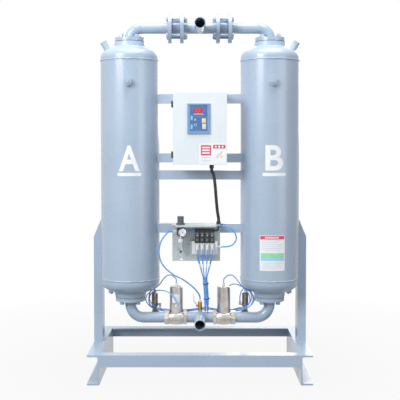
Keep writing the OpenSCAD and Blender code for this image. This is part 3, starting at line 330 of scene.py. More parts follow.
def seenRays(tree):  # 1 for what the camera, gloss and glass see
    path = addNode(tree, "ShaderNodeLightPath")
    seen = path.outputs["Is Camera Ray"]
    for ray in ("Is Glossy Ray", "Is Transmission Ray"):
        either = addNode(tree, "ShaderNodeMath", {0: seen, 1: path.outputs[ray]}, operation="MAXIMUM")
        seen = either.outputs[0]
    return seen


def makeFloor():
    floor = added(bpy.ops.mesh.primitive_plane_add, size=stageSpec["floorSize"],
                  location=(0, 0, -stageSpec["floorDrop"]))
    floor.name = "studioFloor"
    material = bpy.data.materials.new("matt studio floor")  # shows pale, keeps a soft shadow
    material.use_nodes = True
    tree = material.node_tree
    tree.nodes.clear()
    matt = addNode(tree, "ShaderNodeBsdfDiffuse", {"Color": hexColor(stageSpec["floor"])})
    glow = addNode(tree, "ShaderNodeEmission", {"Color": stageSpec["plain"], "Strength": 1.0})
    near, far, least = stageSpec["sweep"]
    coords = addNode(tree, "ShaderNodeTexCoord")
    away = addNode(tree, "ShaderNodeVectorMath", {0: coords.outputs["Object"]}, operation="LENGTH")
    fade = addNode(tree, "ShaderNodeMapRange", {
        "Value": away.outputs["Value"], "From Min": near, "From Max": far, "To Min": least, "To Max": 1.0})
    share = addNode(tree, "ShaderNodeMath", {0: seenRays(tree), 1: fade.outputs[0]}, operation="MULTIPLY")
    mixed = addNode(tree, "ShaderNodeMixShader", {
        0: share.outputs[0], 1: matt.outputs[0], 2: glow.outputs[0]})
    addNode(tree, "ShaderNodeOutputMaterial", {"Surface": mixed.outputs[0]})
    floor.data.materials.append(material)


def makeSky():
    world = bpy.data.worlds.new("studioWorld")
    scene.world = world
    world.use_nodes = True
    tree = world.node_tree
    tree.nodes.clear()
    soft = addNode(tree, "ShaderNodeBackground", {
        "Color": stageSpec["sky"], "Strength": stageSpec["ambient"]})
    plain = addNode(tree, "ShaderNodeBackground", {"Color": stageSpec["plain"], "Strength": 1.0})
    mixed = addNode(tree, "ShaderNodeMixShader", {0: seenRays(tree), 1: soft.outputs[0], 2: plain.outputs[0]})
    addNode(tree, "ShaderNodeOutputWorld", {"Surface": mixed.outputs[0]})


def hangLamps():
    for name, place, aim, width, watts in stageSpec["lamps"]:
        lamp = bpy.data.lights.new(name, "AREA")
        lamp.size = width
        lamp.energy = watts
        holder = bpy.data.objects.new(name, lamp)
        scene.collection.objects.link(holder)
        holder.location = place
        holder.rotation_euler = (Vector(aim) - Vector(place)).to_track_quat("-Z", "Y").to_euler()


makeFloor()
makeSky()
hangLamps()
print("stage lit")


# materials

noise = {"patchDetail": 3, "patchRough": 0.55, "toneEdges": (0.35, 0.65), "grainDetail": 2, "bumpShare": 0.1}


def surface(spec):
    # patches of two tones, a fine grain that drives roughness and bump, all from object coordinates
    material = bpy.data.materials.new(spec["name"])
    material.use_nodes = True
    tree = material.node_tree
    tree.nodes.clear()
    shader = addNode(tree, "ShaderNodeBsdfPrincipled")
    addNode(tree, "ShaderNodeOutputMaterial", {"Surface": shader.outputs[0]})
    coords = addNode(tree, "ShaderNodeTexCoord").outputs["Object"]
    stretch = addNode(tree, "ShaderNodeMapping", {"Vector": coords, "Scale": spec.get("stretch", (1, 1, 1))})
    patches = addNode(tree, "ShaderNodeTexNoise", {
        "Vector": coords, "Scale": 1 / (spec["patch"] * mm),
        "Detail": noise["patchDetail"], "Roughness": noise["patchRough"]})
    tones = addNode(tree, "ShaderNodeValToRGB", {"Fac": patches.outputs["Fac"]})
    for stop, edge, tone in zip(tones.color_ramp.elements, noise["toneEdges"], ("dark", "light")):
        stop.position = edge
        stop.color = hexColor(spec[tone])
    tree.links.new(tones.outputs["Color"], shader.inputs["Base Color"])
    grain = addNode(tree, "ShaderNodeTexNoise", {
        "Vector": stretch.outputs[0], "Scale": 1 / (spec["grain"] * mm), "Detail": noise["grainDetail"]})
    low, high = spec["rough"]
    gloss = addNode(tree, "ShaderNodeMapRange", {
        "Value": grain.outputs["Fac"], "To Min": low, "To Max": high})
    tree.links.new(gloss.outputs[0], shader.inputs["Roughness"])
    bump = addNode(tree, "ShaderNodeBump", {
        "Height": grain.outputs["Fac"], "Strength": spec["bump"],
        "Distance": spec["grain"] * mm * noise["bumpShare"]})
    tree.links.new(bump.outputs[0], shader.inputs["Normal"])
    for name, value in spec.get("shader", {}).items():
        shader.inputs[name].default_value = value
    return material


vinylFilm = {"patch": 20, "grain": 1.5, "rough": (0.38, 0.48), "bump": 0.05}
printingInk = {"patch": 6, "grain": 1, "rough": (0.45, 0.55), "bump": 0.05}
siliconeKey = {"patch": 7, "grain": 0.9, "rough": (0.45, 0.55), "bump": 0.1}
finishes = {
    # alkyd enamel sprayed on steel: an even blue-grey with a soft gloss and a faint orange peel, which is
    # drawn at 9 mm, coarser than it is, so that it shows
    "framePaint": surface({
        "name": "sprayed alkyd enamel", "light": "ABBCD0", "dark": "A5B7CA", "patch": 260, "grain": 9,
        "rough": (0.24, 0.33), "bump": 0.08,
        "shader": {"IOR": 1.5, "Coat Weight": 0.25, "Coat Roughness": 0.16}}),
    # investment cast and turned stainless steel: warm grey, satin, streaked round the turning
    "stainless": surface({
        "name": "satin stainless steel", "light": "C8C5C1", "dark": "ADA9A4", "patch": 45, "grain": 2.0,
        "stretch": (1, 1, 0.08), "rough": (0.24, 0.40), "bump": 0.12, "shader": {"Metallic": 1.0}}),
    # drawn stainless tube left unpolished: olive grey, duller than the castings
    "drawnSteel": surface({
        "name": "drawn stainless tube", "light": "8E8B82", "dark": "75726A", "patch": 30, "grain": 1.6,
        "stretch": (1, 1, 0.06), "rough": (0.26, 0.42), "bump": 0.10, "shader": {"Metallic": 1.0}}),
    # bright zinc plate on screws and nuts: cool grey with a slight haze
    "zincPlate": surface({
        "name": "zinc plated steel", "light": "B8BEC6", "dark": "9DA4AD", "patch": 18, "grain": 1.2,
        "rough": (0.32, 0.48), "bump": 0.15, "shader": {"Metallic": 0.85}}),
    # compressed fibre gasket: dark, dry, slightly fuzzy
    "gasketSheet": surface({
        "name": "compressed fibre gasket", "light": "34373B", "dark": "26282B", "patch": 8, "grain": 0.8,
        "rough": (0.75, 0.9), "bump": 0.4}),
    # activated alumina beads of about 4 mm, packed: off-white, dry, knobbly
    "aluminaBeads": surface({
        "name": "activated alumina beads", "light": "EFEBDF", "dark": "D8D2C2", "patch": 6, "grain": 4,
        "rough": (0.8, 0.95), "bump": 0.9}),
    # turned brass: yellow with a light tarnish
    "brassStock": surface({
        "name": "turned brass", "light": "C9A75C", "dark": "AD8A43", "patch": 14, "grain": 1.2,
        "stretch": (1, 1, 0.15), "rough": (0.25, 0.42), "bump": 0.12, "shader": {"Metallic": 1.0}}),
    # dip-coated steel lever: soft grey-green vinyl
    "leverVinyl": surface({
        "name": "dipped vinyl", "light": "6F8F80", "dark": "5F7E70", "patch": 12, "grain": 1.5,
        "rough": (0.42, 0.55), "bump": 0.15}),
    # powder coat on sheet steel: cool white with a fine texture
    "powderCoat": surface({
        "name": "textured powder coat", "light": "E3EAF0", "dark": "DFE6EC", "patch": 150, "grain": 2.2,
        "rough": (0.42, 0.52), "bump": 0.12}),
    # blackened hinge steel: near black with a dull sheen
    "blackSteel": surface({
        "name": "blackened steel", "light": "26282A", "dark": "1B1C1E", "patch": 9, "grain": 1,
        "rough": (0.4, 0.55), "bump": 0.2}),
    # moulded ABS bezel: mid blue, even, satin
    "bezelAbs": surface({
        "name": "moulded blue ABS", "light": "7FA3CB", "dark": "769AC3", "patch": 30, "grain": 1.4,
        "rough": (0.32, 0.42), "bump": 0.08}),
    # nylon glands, coils and conduit: black, slightly dusty
    "blackNylon": surface({
        "name": "moulded black nylon", "light": "2A2D31", "dark": "1E2023", "patch": 16, "grain": 1.5,
        "rough": (0.42, 0.6), "bump": 0.15}),
    # glass-filled regulator housing and knob: dark grey, matt
    "greyNylon": surface({
        "name": "glass filled grey nylon", "light": "5C6369", "dark": "4E545A", "patch": 16, "grain": 1.2,
        "rough": (0.45, 0.6), "bump": 0.2}),
    # acetal fittings and end blocks: white, waxy
    "whiteAcetal": surface({
        "name": "moulded white acetal", "light": "ECEEEF", "dark": "E2E5E7", "patch": 20, "grain": 1.2,
        "rough": (0.34, 0.46), "bump": 0.08}),
    # pressed fibre filter: white, matt, felted
    "filterFibre": surface({
        "name": "sintered filter fibre", "light": "F2F2EE", "dark": "E4E3DC", "patch": 5, "grain": 0.7,
        "rough": (0.8, 0.95), "bump": 0.5}),
    # die-cast valve bodies: pale, satin, slightly grainy
    "dieCastAlloy": surface({
        "name": "blasted die-cast aluminium", "light": "CDD1D5", "dark": "B9BEC3", "patch": 12, "grain": 0.9,
        "rough": (0.38, 0.52), "bump": 0.2, "shader": {"Metallic": 0.9}}),
    # bracket sheet: galvanised steel, grey with a green cast and a faint spangle
    "galvanised": surface({
        "name": "galvanised sheet", "light": "C2CDCE", "dark": "B2BEC0", "patch": 14, "grain": 3.5,
        "rough": (0.36, 0.55), "bump": 0.08, "shader": {"Metallic": 0.35}}),
    # extruded polyurethane tube: saturated blue, glossy, a little translucent
    "polyurethane": surface({
        "name": "blue polyurethane tube", "light": "6CB1F8", "dark": "599FEE", "patch": 60, "grain": 4,
        "rough": (0.22, 0.32), "bump": 0.03,
        "shader": {"IOR": 1.5, "Subsurface Weight": 0.12, "Subsurface Radius": (0.002, 0.003, 0.006),
                   "Coat Weight": 0.2}}),
    # screen-printed vinyl film: flat, even, satin
    "printWhite": surface({
        **vinylFilm, "name": "white vinyl film", "light": "F3F5F7", "dark": "ECEFF2", "patch": 40}),
    "printRed": surface({**vinylFilm, "name": "red vinyl film", "light": "D6526A", "dark": "CA475F"}),
    "printGreen": surface({**vinylFilm, "name": "green vinyl film", "light": "A4E0B6", "dark": "94D6A6"}),
    "printBlue": surface({**vinylFilm, "name": "blue vinyl film", "light": "9EDCF6", "dark": "8FD1F0"}),
    # ink printed on it: greys, a little duller than the film
    "printGrey": surface({**printingInk, "name": "grey printing ink", "light": "A9B0B8", "dark": "9AA2AB"}),
    "printPale": surface({**printingInk, "name": "pale printing ink", "light": "D3DAE1", "dark": "CAD2DA"}),
    # polyester keypad overlay: deep blue, fine matt grain
    "keypadFilm": surface({
        "name": "matt polyester overlay", "light": "5378AC", "dark": "4B6EA1", "patch": 18, "grain": 0.9,
        "rough": (0.34, 0.46), "bump": 0.08}),
    # clear lacquered windows in the overlay: pale blue, glossier than the film round them
    "windowFilm": surface({
        "name": "pale blue window film", "light": "8FD6FA", "dark": "82CAF2", "patch": 8, "grain": 0.9,
        "rough": (0.2, 0.3), "bump": 0.03}),
    # silicone rubber keys: soft, matt, slightly dusty
    "keyYellow": surface({**siliconeKey, "name": "yellow silicone key", "light": "EFDB9C", "dark": "E7D18C"}),
    "keyWhite": surface({**siliconeKey, "name": "white silicone key", "light": "E9EAEE", "dark": "DDDFE4"}),
    # red acrylic over lit digits: deep and glossy
    "redAcrylic": surface({
        "name": "red acrylic window", "light": "B93A55", "dark": "A9314B", "patch": 9, "grain": 2,
        "rough": (0.08, 0.14), "bump": 0.02,
        "shader": {"Emission Color": (0.55, 0.03, 0.06, 1), "Emission Strength": 0.12}}),
    # lit figures behind it: pink, hazy, a little brighter than the window
    "litSegment": surface({
        "name": "lit digit", "light": "E27A86", "dark": "D86C79", "patch": 5, "grain": 1,
        "rough": (0.3, 0.4), "bump": 0.02,
        "shader": {"Emission Color": (1.0, 0.20, 0.22, 1), "Emission Strength": 0.1}}),
    # gauge dial: enamelled aluminium behind the pane, pale with a cool cast
    "dialEnamel": surface({
        "name": "enamelled aluminium dial", "light": "D3D8E4", "dark": "CACFDC", "patch": 12, "grain": 1,
        "rough": (0.38, 0.48), "bump": 0.03}),
    # poured polyurethane foam: charcoal, matt, with open skin pores
    "sealFoam": surface({
        "name": "polyurethane foam", "light": "3A3D40", "dark": "2C2F31", "patch": 9, "grain": 1.1,
        "rough": (0.8, 0.95), "bump": 0.5}),
    # pluggable terminals: green, satin, faintly marbled from moulding
    "greenPolyamide": surface({
        "name": "moulded green polyamide", "light": "3F8F5E", "dark": "367F53", "patch": 8, "grain": 1.1,
        "rough": (0.4, 0.52), "bump": 0.1}),
    # gauge case and printed scale: black lacquer with a clear gloss
    "blackLacquer": surface({
        "name": "black lacquered steel", "light": "1F2124", "dark": "17181A", "patch": 10, "grain": 1,
        "rough": (0.22, 0.32), "bump": 0.05}),
}


def clearSurface(name, tint, through, rough, bend):
    material = bpy.data.materials.new(name)
    material.use_nodes = True
    shader = material.node_tree.nodes["Principled BSDF"]
    shader.inputs["Base Color"].default_value = hexColor(tint)
    shader.inputs["Transmission Weight"].default_value = through
    shader.inputs["Roughness"].default_value = rough
    shader.inputs["IOR"].default_value = bend
    return material


# polycarbonate bowl: clear, faintly milky from use
finishes["clearBowl"] = clearSurface("clear polycarbonate", "EEF2F2", through=0.75, rough=0.18, bend=1.45)
# mineral glass over the dial: clear with a sharp glint, and so thin that little is bent
finishes["gaugeGlass"] = clearSurface("gauge glass", "FFFFFF", through=1.0, rough=0.02, bend=1.2)
finishOf = {
    "framePaint": "side_rails front_rail rear_rail posts cross_beams left_tower right_tower "
                  "left_outlet_spool right_outlet_spool outlet_header outlet_stub left_inlet_spool "
                  "right_inlet_spool inlet_header inlet_stub tower_flange_bolts check_valve_bolts "
                  "port_plugs check_valve_bodies",
    "stainless": "bed_screens left_check_flap right_check_flap left_inlet_valve right_inlet_valve "
                 "left_inlet_actuator right_inlet_actuator left_inlet_piston right_inlet_piston "
                 "valve_union_nuts left_exhaust_piston right_exhaust_piston",
    "drawnSteel": "exhaust_valves exhaust_actuators",
    "gasketSheet": "tower_gaskets check_valve_gaskets",
    "aluminaBeads": "desiccant_beds",
    "brassStock": "pilot_valve silencers",
    "leverVinyl": "pilot_lever",
    "powderCoat": "control_box box_door",
    "blackSteel": "door_hinges",
    "bezelAbs": "controller",
    "blackNylon": "cable_glands bowl_drain solenoid_coils",
    "greyNylon": "regulator_body regulator_knob",
    "whiteAcetal": "valve_manifold push_fittings",
    "filterFibre": "filter_element",
    "dieCastAlloy": "solenoid_valves",
    "galvanised": "valve_bracket",
    "blackLacquer": "pressure_gauge",
    "clearBowl": "filter_bowl",
}
for finish, names in finishOf.items():
    for name in names.split():
        nodes[name].data.materials.clear()
        nodes[name].data.materials.append(finishes[finish])
for cord in blueCords:
    cord.data.materials.append(finishes["polyurethane"])
for cord in blackCords:
    cord.data.materials.append(finishes["blackNylon"])
for marker in markers:
    marker.data.materials.append(finishes["whiteAcetal"])
print("finishes on nodes:", sum(len(names.split()) for names in finishOf.values()))


# shapes used by more than one piece, sizes in millimetres

upright, sideways, frontBack, toFront = (0, 0, 1), (1, 0, 0), (0, 1, 0), (0, -1, 0)
filmGap = 0.02  # air left between stacked films
roundPlate = {"rim": 0.2, "sides": 32}


def finishPiece(piece, name, body, finish, angle=35):
    only(piece)
    applyPlace()
    bpy.ops.object.shade_smooth_by_angle(angle=math.radians(angle))
    piece.name = name
    piece.data.materials.clear()
    piece.data.materials.append(finishes[finish])
    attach(piece, body)
    return piece


def turnOutward():  # every face of the mesh in edit mode
    bpy.ops.mesh.select_all(action="SELECT")
    bpy.ops.mesh.normals_make_consistent(inside=False)


def drawOut(deep):  # the selected faces pulled to the front
    bpy.ops.mesh.extrude_region_move(TRANSFORM_OT_translate={"value": (0, -deep * mm, 0)})


def pickPoints(piece, test):  # edit mode with only the points that pass selected
    inEdit(piece)
    bpy.ops.mesh.select_all(action="DESELECT")
    leaveEdit()
    for vertex in piece.data.vertices:
        vertex.select = test(vertex.co)
    bpy.ops.object.mode_set(mode="EDIT")


def block(low, high, bevel):  # a box with its edges rounded
    low, high = Vector(low) * mm, Vector(high) * mm
    piece = added(bpy.ops.mesh.primitive_cube_add, size=1, location=(low + high) / 2)
    piece.scale = high - low
    applyPlace()
    inEdit(piece)
    bpy.ops.mesh.bevel(offset=bevel * mm, segments=3, affect="EDGES")
    leaveEdit()
    return piece


def card(x, z, back, thick, corner=0, lean=0):  # a sheet that faces the front, with round corners
    middle = (sum(x) / 2 * mm, back * mm, sum(z) / 2 * mm)
    piece = added(bpy.ops.mesh.primitive_plane_add, size=1, location=middle,
                  rotation=(math.pi / 2, math.radians(lean), 0))
    piece.scale = ((x[1] - x[0]) * mm, (z[1] - z[0]) * mm, 1)
    applyPlace()
    inEdit(piece)
    if corner:
        bpy.ops.mesh.bevel(offset=corner * mm, segments=4, affect="VERTICES")
    if thick:
        drawOut(thick)
        turnOutward()
    leaveEdit()
    return piece


def joined(pieces):  # several meshes made one
    bpy.ops.object.select_all(action="DESELECT")
    for piece in pieces:
        piece.select_set(True)
    bpy.context.view_layer.objects.active = pieces[0]
    bpy.ops.object.join()
    return bpy.context.object


def placed(piece, centre, axis):  # its own upright axis laid along another, and its origin moved
    only(piece)
    piece.rotation_euler = Vector(axis).to_track_quat("Z", "X").to_euler()
    piece.location = Vector(centre) * mm
    applyPlace()
    return piece


def turned(profile, centre, axis, segments):  # a closed outline of (radius, along) spun about an axis
    piece = added(bpy.ops.mesh.primitive_circle_add, vertices=len(profile), radius=mm)
    for vertex, (radius, along) in zip(piece.data.vertices, profile):
        vertex.co = (radius * mm, 0, along * mm)
    inEdit(piece)
    bpy.ops.mesh.spin(steps=segments, angle=2 * math.pi, center=(0, 0, 0), axis=upright)
    bpy.ops.mesh.select_all(action="SELECT")
    bpy.ops.mesh.remove_doubles(threshold=0.00001)  # the seam of the spin
    bpy.ops.mesh.delete_loose()
    turnOutward()
    leaveEdit()
    return placed(piece, centre, axis)


def disc(x, z, back, thick, radius, inner=0):  # a flat round piece, or a ring, that faces the front
    rim = min(roundPlate["rim"], thick / 3)
    outline = [(inner, 0), (radius, 0), (radius, thick - rim), (radius - rim, thick), (inner, thick)]
    return turned(outline, (x, back, z), toFront, roundPlate["sides"])


def copied(piece):  # a copy with its own mesh
    only(piece)
    bpy.ops.object.duplicate(linked=False)
    return bpy.context.object


def sideBySide(first, count, step):  # copies at an even spacing, made one
    pieces = [first]
    for k in range(1, count):
        piece = copied(first)
        piece.location = Vector(step) * k * mm
        applyPlace()
        pieces.append(piece)
    return joined(pieces)


def faceFront(piece):  # a flat sheet with its faces to the front
    if sum(face.normal.y * face.area for face in piece.data.polygons) > 0:
        inEdit(piece)
        bpy.ops.mesh.flip_normals()
        leaveEdit()
    return piece


def writing(text, middle, wide, z, stroke):  # a flat figure or letter fitted to a frame
    piece = added(bpy.ops.object.text_add)
    piece.data.body = text
    piece.data.offset = stroke
    piece.data.resolution_u = 8  # steps on each curve
    bpy.ops.object.convert(target="MESH")
    points = [v.co.copy() for v in piece.data.vertices]
    low = [min(p[i] for p in points) for i in range(2)]
    high = [max(p[i] for p in points) for i in range(2)]
    for vertex in piece.data.vertices:
        u, v = ((vertex.co[i] - low[i]) / (high[i] - low[i]) for i in range(2))
        vertex.co = ((middle + (u - 0.5) * wide) * mm, 0, (z[0] + v * (z[1] - z[0])) * mm)
    inEdit(piece)
    bpy.ops.mesh.remove_doubles(threshold=wide * mm / 2000)  # far finer than a stroke
    turnOutward()
    leaveEdit()
    return faceFront(piece)


def wrapOnTube(piece, tube, lift, thick):  # lay a flat sheet round an upright tube
    inEdit(piece)
    xs = [v.co.x for v in piece.data.vertices]
    left, wide = min(xs), max(xs) - min(xs)
    cuts = int(wide / (tube["step"] * mm))
    for k in range(1, cuts):
        bpy.ops.mesh.select_all(action="SELECT")
        bpy.ops.mesh.bisect(plane_co=(left + wide * k / cuts, 0, 0), plane_no=sideways)
    leaveEdit()
    reach = (tube["radius"] + lift) * mm
    for vertex in piece.data.vertices:
        aside = vertex.co.x - tube["x"] * mm
        vertex.co.y = tube["y"] * mm - math.sqrt(reach ** 2 - aside ** 2)
    return walled(piece, thick)


def walled(piece, thick):  # a sheet given its thickness, outward
    wall = piece.modifiers.new("wall", "SOLIDIFY")
    wall.thickness = thick * mm
    wall.offset = 1
    only(piece)
    bpy.ops.object.modifier_apply(modifier="wall")
    inEdit(piece)
    turnOutward()
    leaveEdit()
    return piece


# tower letters with a rule under each, laid on the shell

leftShell = {**tower, "x": -tower["x"], "step": 4}  # step: how far apart a wrapped sheet is cut
rightShell = {**tower, "step": 4}
letters = {
    "letterA": {"shell": leftShell, "text": "A", "x": -381, "width": 113, "z": (1129, 1268), "rule": 127},
    "letterB": {"shell": rightShell, "text": "B", "x": 400, "width": 96, "z": (1133, 1270), "rule": 126},
}
letterRule = {"z": (1103, 1121), "corner": 4, "lift": 0.25, "film": 0.35, "stroke": 0.022}


def towerLetter(name, spec):
    figure = writing(spec["text"], spec["x"], spec["width"], spec["z"], letterRule["stroke"])
    half = spec["rule"] / 2
    rule = card((spec["x"] - half, spec["x"] + half), letterRule["z"], 0, 0, letterRule["corner"])
    both = joined([figure, faceFront(rule)])
    wrapOnTube(both, spec["shell"], letterRule["lift"], letterRule["film"])
    finishPiece(both, name, "stand", "printWhite", angle=30)


for name, spec in letters.items():
    towerLetter(name, spec)
print("letters on towers")


# notice on the right tower, a tag on the left can, and a white patch on the bowl's upper part that is a
# painted highlight: plain fields of colour

notice = {
    "x": 391, "width": 136, "z": (590, 783), "corner": 3, "film": 0.2, "lift": 0.25,
    "fields": [  # name, finish, left and right edge from the middle, heights
        ("Head", "printRed", (-65, 65), (761, 780)), ("Green", "printGreen", (-62, 64), (660, 687)),
        ("Blue", "printBlue", (-62, 64), (645, 659.5)),
    ],
    "margin": 10, "lineHalf": 1.6,
    "lines": [(704, 100), (714, 116), (724, 110), (734, 118), (744, 92), (754, 112),  # height, length
              (603, 84), (613, 108), (623, 96), (633, 112)],
    "dashes": (-40, 36, 11, 8),  # from, to, spacing and size of the white marks in the head
}
tagsAndGlint = {
    "canTag": {"x": (-154, -112), "z": (392, 440), "shell": {"x": -132.5, "y": -75, "radius": 37, "step": 2}},
    # the white patch on the bowl is a painted highlight: a glint on the clear bowl, drawn as a white sheet
    "bowlGlintPatch": {"x": (-118, -94), "z": (742, 761), "shell": {"x": -106, "y": -185, "radius": 19, "step": 2}},
}
tagAndGlintCorner = 2


def wrappedCard(name, shell, x, z, lift, finish, corner=0):
    piece = wrapOnTube(faceFront(card(x, z, 0, 0, corner)), shell, lift, notice["film"])
    return finishPiece(piece, name, "stand", finish, angle=30)


def towerNotice():
    mid, half = notice["x"], notice["width"] / 2
    low, high = notice["lift"], notice["lift"] * 2
    wide = (mid - half, mid + half)
    wrappedCard("noticeSheet", rightShell, wide, notice["z"], low, "printWhite", notice["corner"])
    for name, finish, x, z in notice["fields"]:
        wrappedCard(f"notice{name}", rightShell, (mid + x[0], mid + x[1]), z, high, finish)
    left, thin = mid - half + notice["margin"], notice["lineHalf"]
    lines = [
        wrappedCard(f"line{z}", rightShell, (left, left + length), (z - thin, z + thin), high, "printPale")
        for z, length in notice["lines"]]
    finishPiece(joined(lines), "noticeLines", "stand", "printPale", angle=30)
    first, last, pitch, size = notice["dashes"]
    top = sum(notice["fields"][0][3]) / 2
    across = (top - size / 2, top + size / 2)
    marks = [
        wrappedCard(f"mark{x}", rightShell, (mid + x, mid + x + size), across, high + low, "printWhite")
        for x in range(first, last, pitch)]
    finishPiece(joined(marks), "noticeMarks", "stand", "printWhite", angle=30)
    for name, wrapSpec in tagsAndGlint.items():
        wrappedCard(name, wrapSpec["shell"], wrapSpec["x"], wrapSpec["z"], low, "printWhite", tagAndGlintCorner)


towerNotice()
print("notice and tags stuck on")


# sign on the door: plain fields of colour

doorSign = {
    "face": -295.05, "sheet": ((-5, 138), (1171, 1278)), "film": 0.3, "corner": 3,
    "fields": [  # name, finish, x, z, corner, lean
        ("Red", "printRed", (5, 59), (1215, 1270), 3, 0),
        ("Bar", "printRed", (69, 135), (1252, 1272), 4, 0),
        ("RowHigh", "printPale", (5, 60), (1202.5, 1206.5), 1, 0),
        ("RowLow", "printPale", (5, 58), (1185, 1189), 1, 0),
        ("StrokeLong", "printGrey", (101, 104), (1196, 1240), 1, 38),
        ("StrokeShort", "printPale", (90, 93), (1204, 1230), 1, 38),
        ("StrokeHigh", "printPale", (113, 116), (1214, 1240), 1, 38),
    ],
    "bars": {"x": (12, 52), "z": (1257, 1242.5, 1228), "tall": 8, "corner": 1},
    "dots": [(84, 1262, 5), (102, 1262, 6), (120, 1262, 5)],
    "amber": (114, 1208, 6),
}


def signOnDoor():
    back, film = doorSign["face"], doorSign["film"]
    sheet = card(*doorSign["sheet"], back, film, doorSign["corner"])
    finishPiece(sheet, "signSheet", "door", "printWhite")
    back -= film + filmGap
    for name, finish, x, z, corner, lean in doorSign["fields"]:
        finishPiece(card(x, z, back, film, corner, lean), f"sign{name}", "door", finish)
    x, z, radius = doorSign["amber"]
    finishPiece(disc(x, z, back, film, radius), "signAmber", "door", "keyYellow")
    back -= film + filmGap
    bars = doorSign["bars"]
    half = bars["tall"] / 2
    marks = [card(bars["x"], (z - half, z + half), back, film, bars["corner"]) for z in bars["z"]]
    marks += [disc(x, z, back, film, radius) for x, z, radius in doorSign["dots"]]
    finishPiece(joined(marks), "signMarks", "door", "printWhite")


signOnDoor()
print("sign on door")


# controller face: overlay, display with digits, windows and keys

panel = {
    "x": -7, "face": -301.05, "film": 0.35,
    "sheet": ((-45.5, 45.5), (1344.5, 1482.5)), "display": ((-26, 22), (1441, 1467)),
    "shelf": ((-24, 22), (1430, 1438)), "shelfPull": 0.82,
    "windows": [((-42, -32), (1403, 1426)), ((-42, -32), (1355, 1379))],
    "strokes": [((-25, -12), (1404, 1406), 45), ((-25, -12), (1404, 1406), -45)],
    "frameLines": [((-12, 12), (1418, 1419)), ((-20, 12), (1350, 1351))],
    "corner": {"sheet": 2, "display": 1.5, "shelf": 1, "window": 2.5, "stroke": 0.5, "line": 0.2,
               "digit": 0.4},
    "dial": (-18, 1377, 7, 5.6),
    "keys": [("keyYellow", (17, 38), (1388, 1411)), ("keyWhite", (19, 28), (1355, 1383)),
             ("keyWhite", (29.5, 38), (1355, 1383))],
    "keyRise": 1.0, "keyEdge": 0.45,
    "digits": [(-20, "abcdef"), (-9, "abcdef"), (2, "abcdef"), (13, "bc")],  # place, lit strokes
    "digit": (7, 14, 1.4), "digitGap": (1, 1.8), "digitLift": 6, "digitFilm": 0.1,
}


def digit(x, z, lit):  # seven-segment figure, its strokes chosen by letter
    wide, tall, stroke = panel["digit"]
    inner, outer = panel["digitGap"]
    half = tall / 2
    full, left, right = (x, x + wide), (x, x + stroke), (x + wide - stroke, x + wide)
    low, high = (z + outer, z + half - inner), (z + half + inner, z + tall - outer)
    bars = {
        "a": (full, (z + tall - stroke, z + tall)), "d": (full, (z, z + stroke)),
        "b": (right, high), "c": (right, low), "e": (left, low), "f": (left, high),
    }
    return [bars[letter] for letter in lit]


def flatOnPanel(name, x, z, back, thick, finish, corner, lean=0):
    at = panel["x"]
    piece = card((at + x[0], at + x[1]), z, back, thick, panel["corner"][corner], lean)
    return finishPiece(piece, name, "door", finish)


def panelShelf(back):  # its lower edge is pulled wider
    x, z = panel["shelf"]
    piece = flatOnPanel("panelShelf", x, z, back, panel["film"], "printGrey", "shelf")
    middle = sum(z) / 2 * mm
    pickPoints(piece, lambda co: co.z < middle)
    bpy.ops.transform.resize(value=(1 / panel["shelfPull"], 1, 1),
                             center_override=((panel["x"] + sum(x) / 2) * mm, 0, middle))
    leaveEdit()


def controllerFace():
    at, back, film = panel["x"], panel["face"], panel["film"]
    flatOnPanel("panelFilm", *panel["sheet"], back, film, "keypadFilm", "sheet")
    back -= film + filmGap
    flatOnPanel("panelDisplay", *panel["display"], back, film, "redAcrylic", "display")
    panelShelf(back)
    for k, (x, z) in enumerate(panel["windows"]):
        flatOnPanel(f"panelWindow{k}", x, z, back, film, "windowFilm", "window")
    for k, (x, z, lean) in enumerate(panel["strokes"]):
        flatOnPanel(f"panelStroke{k}", x, z, back, film / 2, "printWhite", "stroke", lean)
    for k, (x, z) in enumerate(panel["frameLines"]):
        flatOnPanel(f"panelLine{k}", x, z, back, film / 2, "printGrey", "line")
    x, z, radius, inner = panel["dial"]
    dial = disc(at + x, z, back, film / 2, radius, inner)
    finishPiece(dial, "panelDial", "door", "printWhite")
    for k, (finish, x, z) in enumerate(panel["keys"]):
        key = block((at + x[0], back - panel["keyRise"], z[0]), (at + x[1], back, z[1]), panel["keyEdge"])
        finishPiece(key, f"panelKey{k}", "door", finish)
    back -= film + filmGap
    low, corner = panel["display"][1][0] + panel["digitLift"], panel["corner"]["digit"]
    strokes = [card((at + x[0], at + x[1]), z, back, panel["digitFilm"], corner)
               for place, lit in panel["digits"] for x, z in digit(place, low, lit)]
    finishPiece(joined(strokes), "panelDigits", "door", "litSegment")


controllerFace()
print("controller face fitted")


# pressure gauge: dial, scale, figures, needle and glass

gauge = {
    "x": -95, "z": 798, "seat": -230.95, "dial": 21.7, "film": 0.4, "ink": 0.1,
    "zero": 225, "sweep": 270,  # where the scale starts and how far it runs, in degrees
    "ticks": (51, 16.2, 18.6, 0.35), "longTicks": (11, 15.0, 18.6, 0.6),  # count, inner and outer end, width
    "figures": [("0", 0), ("2", 54), ("4", 108), ("6", 162), ("8", 216), ("10", 270)],
    "figureAt": 11.6, "figure": 3.4, "figureShare": 0.62,  # width of a figure for its height
    "needle": {"reach": 15.2, "tail": 6.0, "wide": 1.3, "turn": 62,
               "lift": 0.3, "thick": 0.3, "corner": 0.3, "taper": 0.35},
    "hub": (2.4, 0.8), "glass": (21.8, 2.2, 2.75),
}
gaugeAxis = (gauge["x"] * mm, 0, gauge["z"] * mm)


def swing(angle):  # what is selected, turned about the middle of the dial
    bpy.ops.mesh.spin(steps=1, angle=math.radians(angle), center=gaugeAxis, axis=frontBack, dupli=True)
    bpy.ops.mesh.select_all(action="INVERT")
    bpy.ops.mesh.delete(type="VERT")


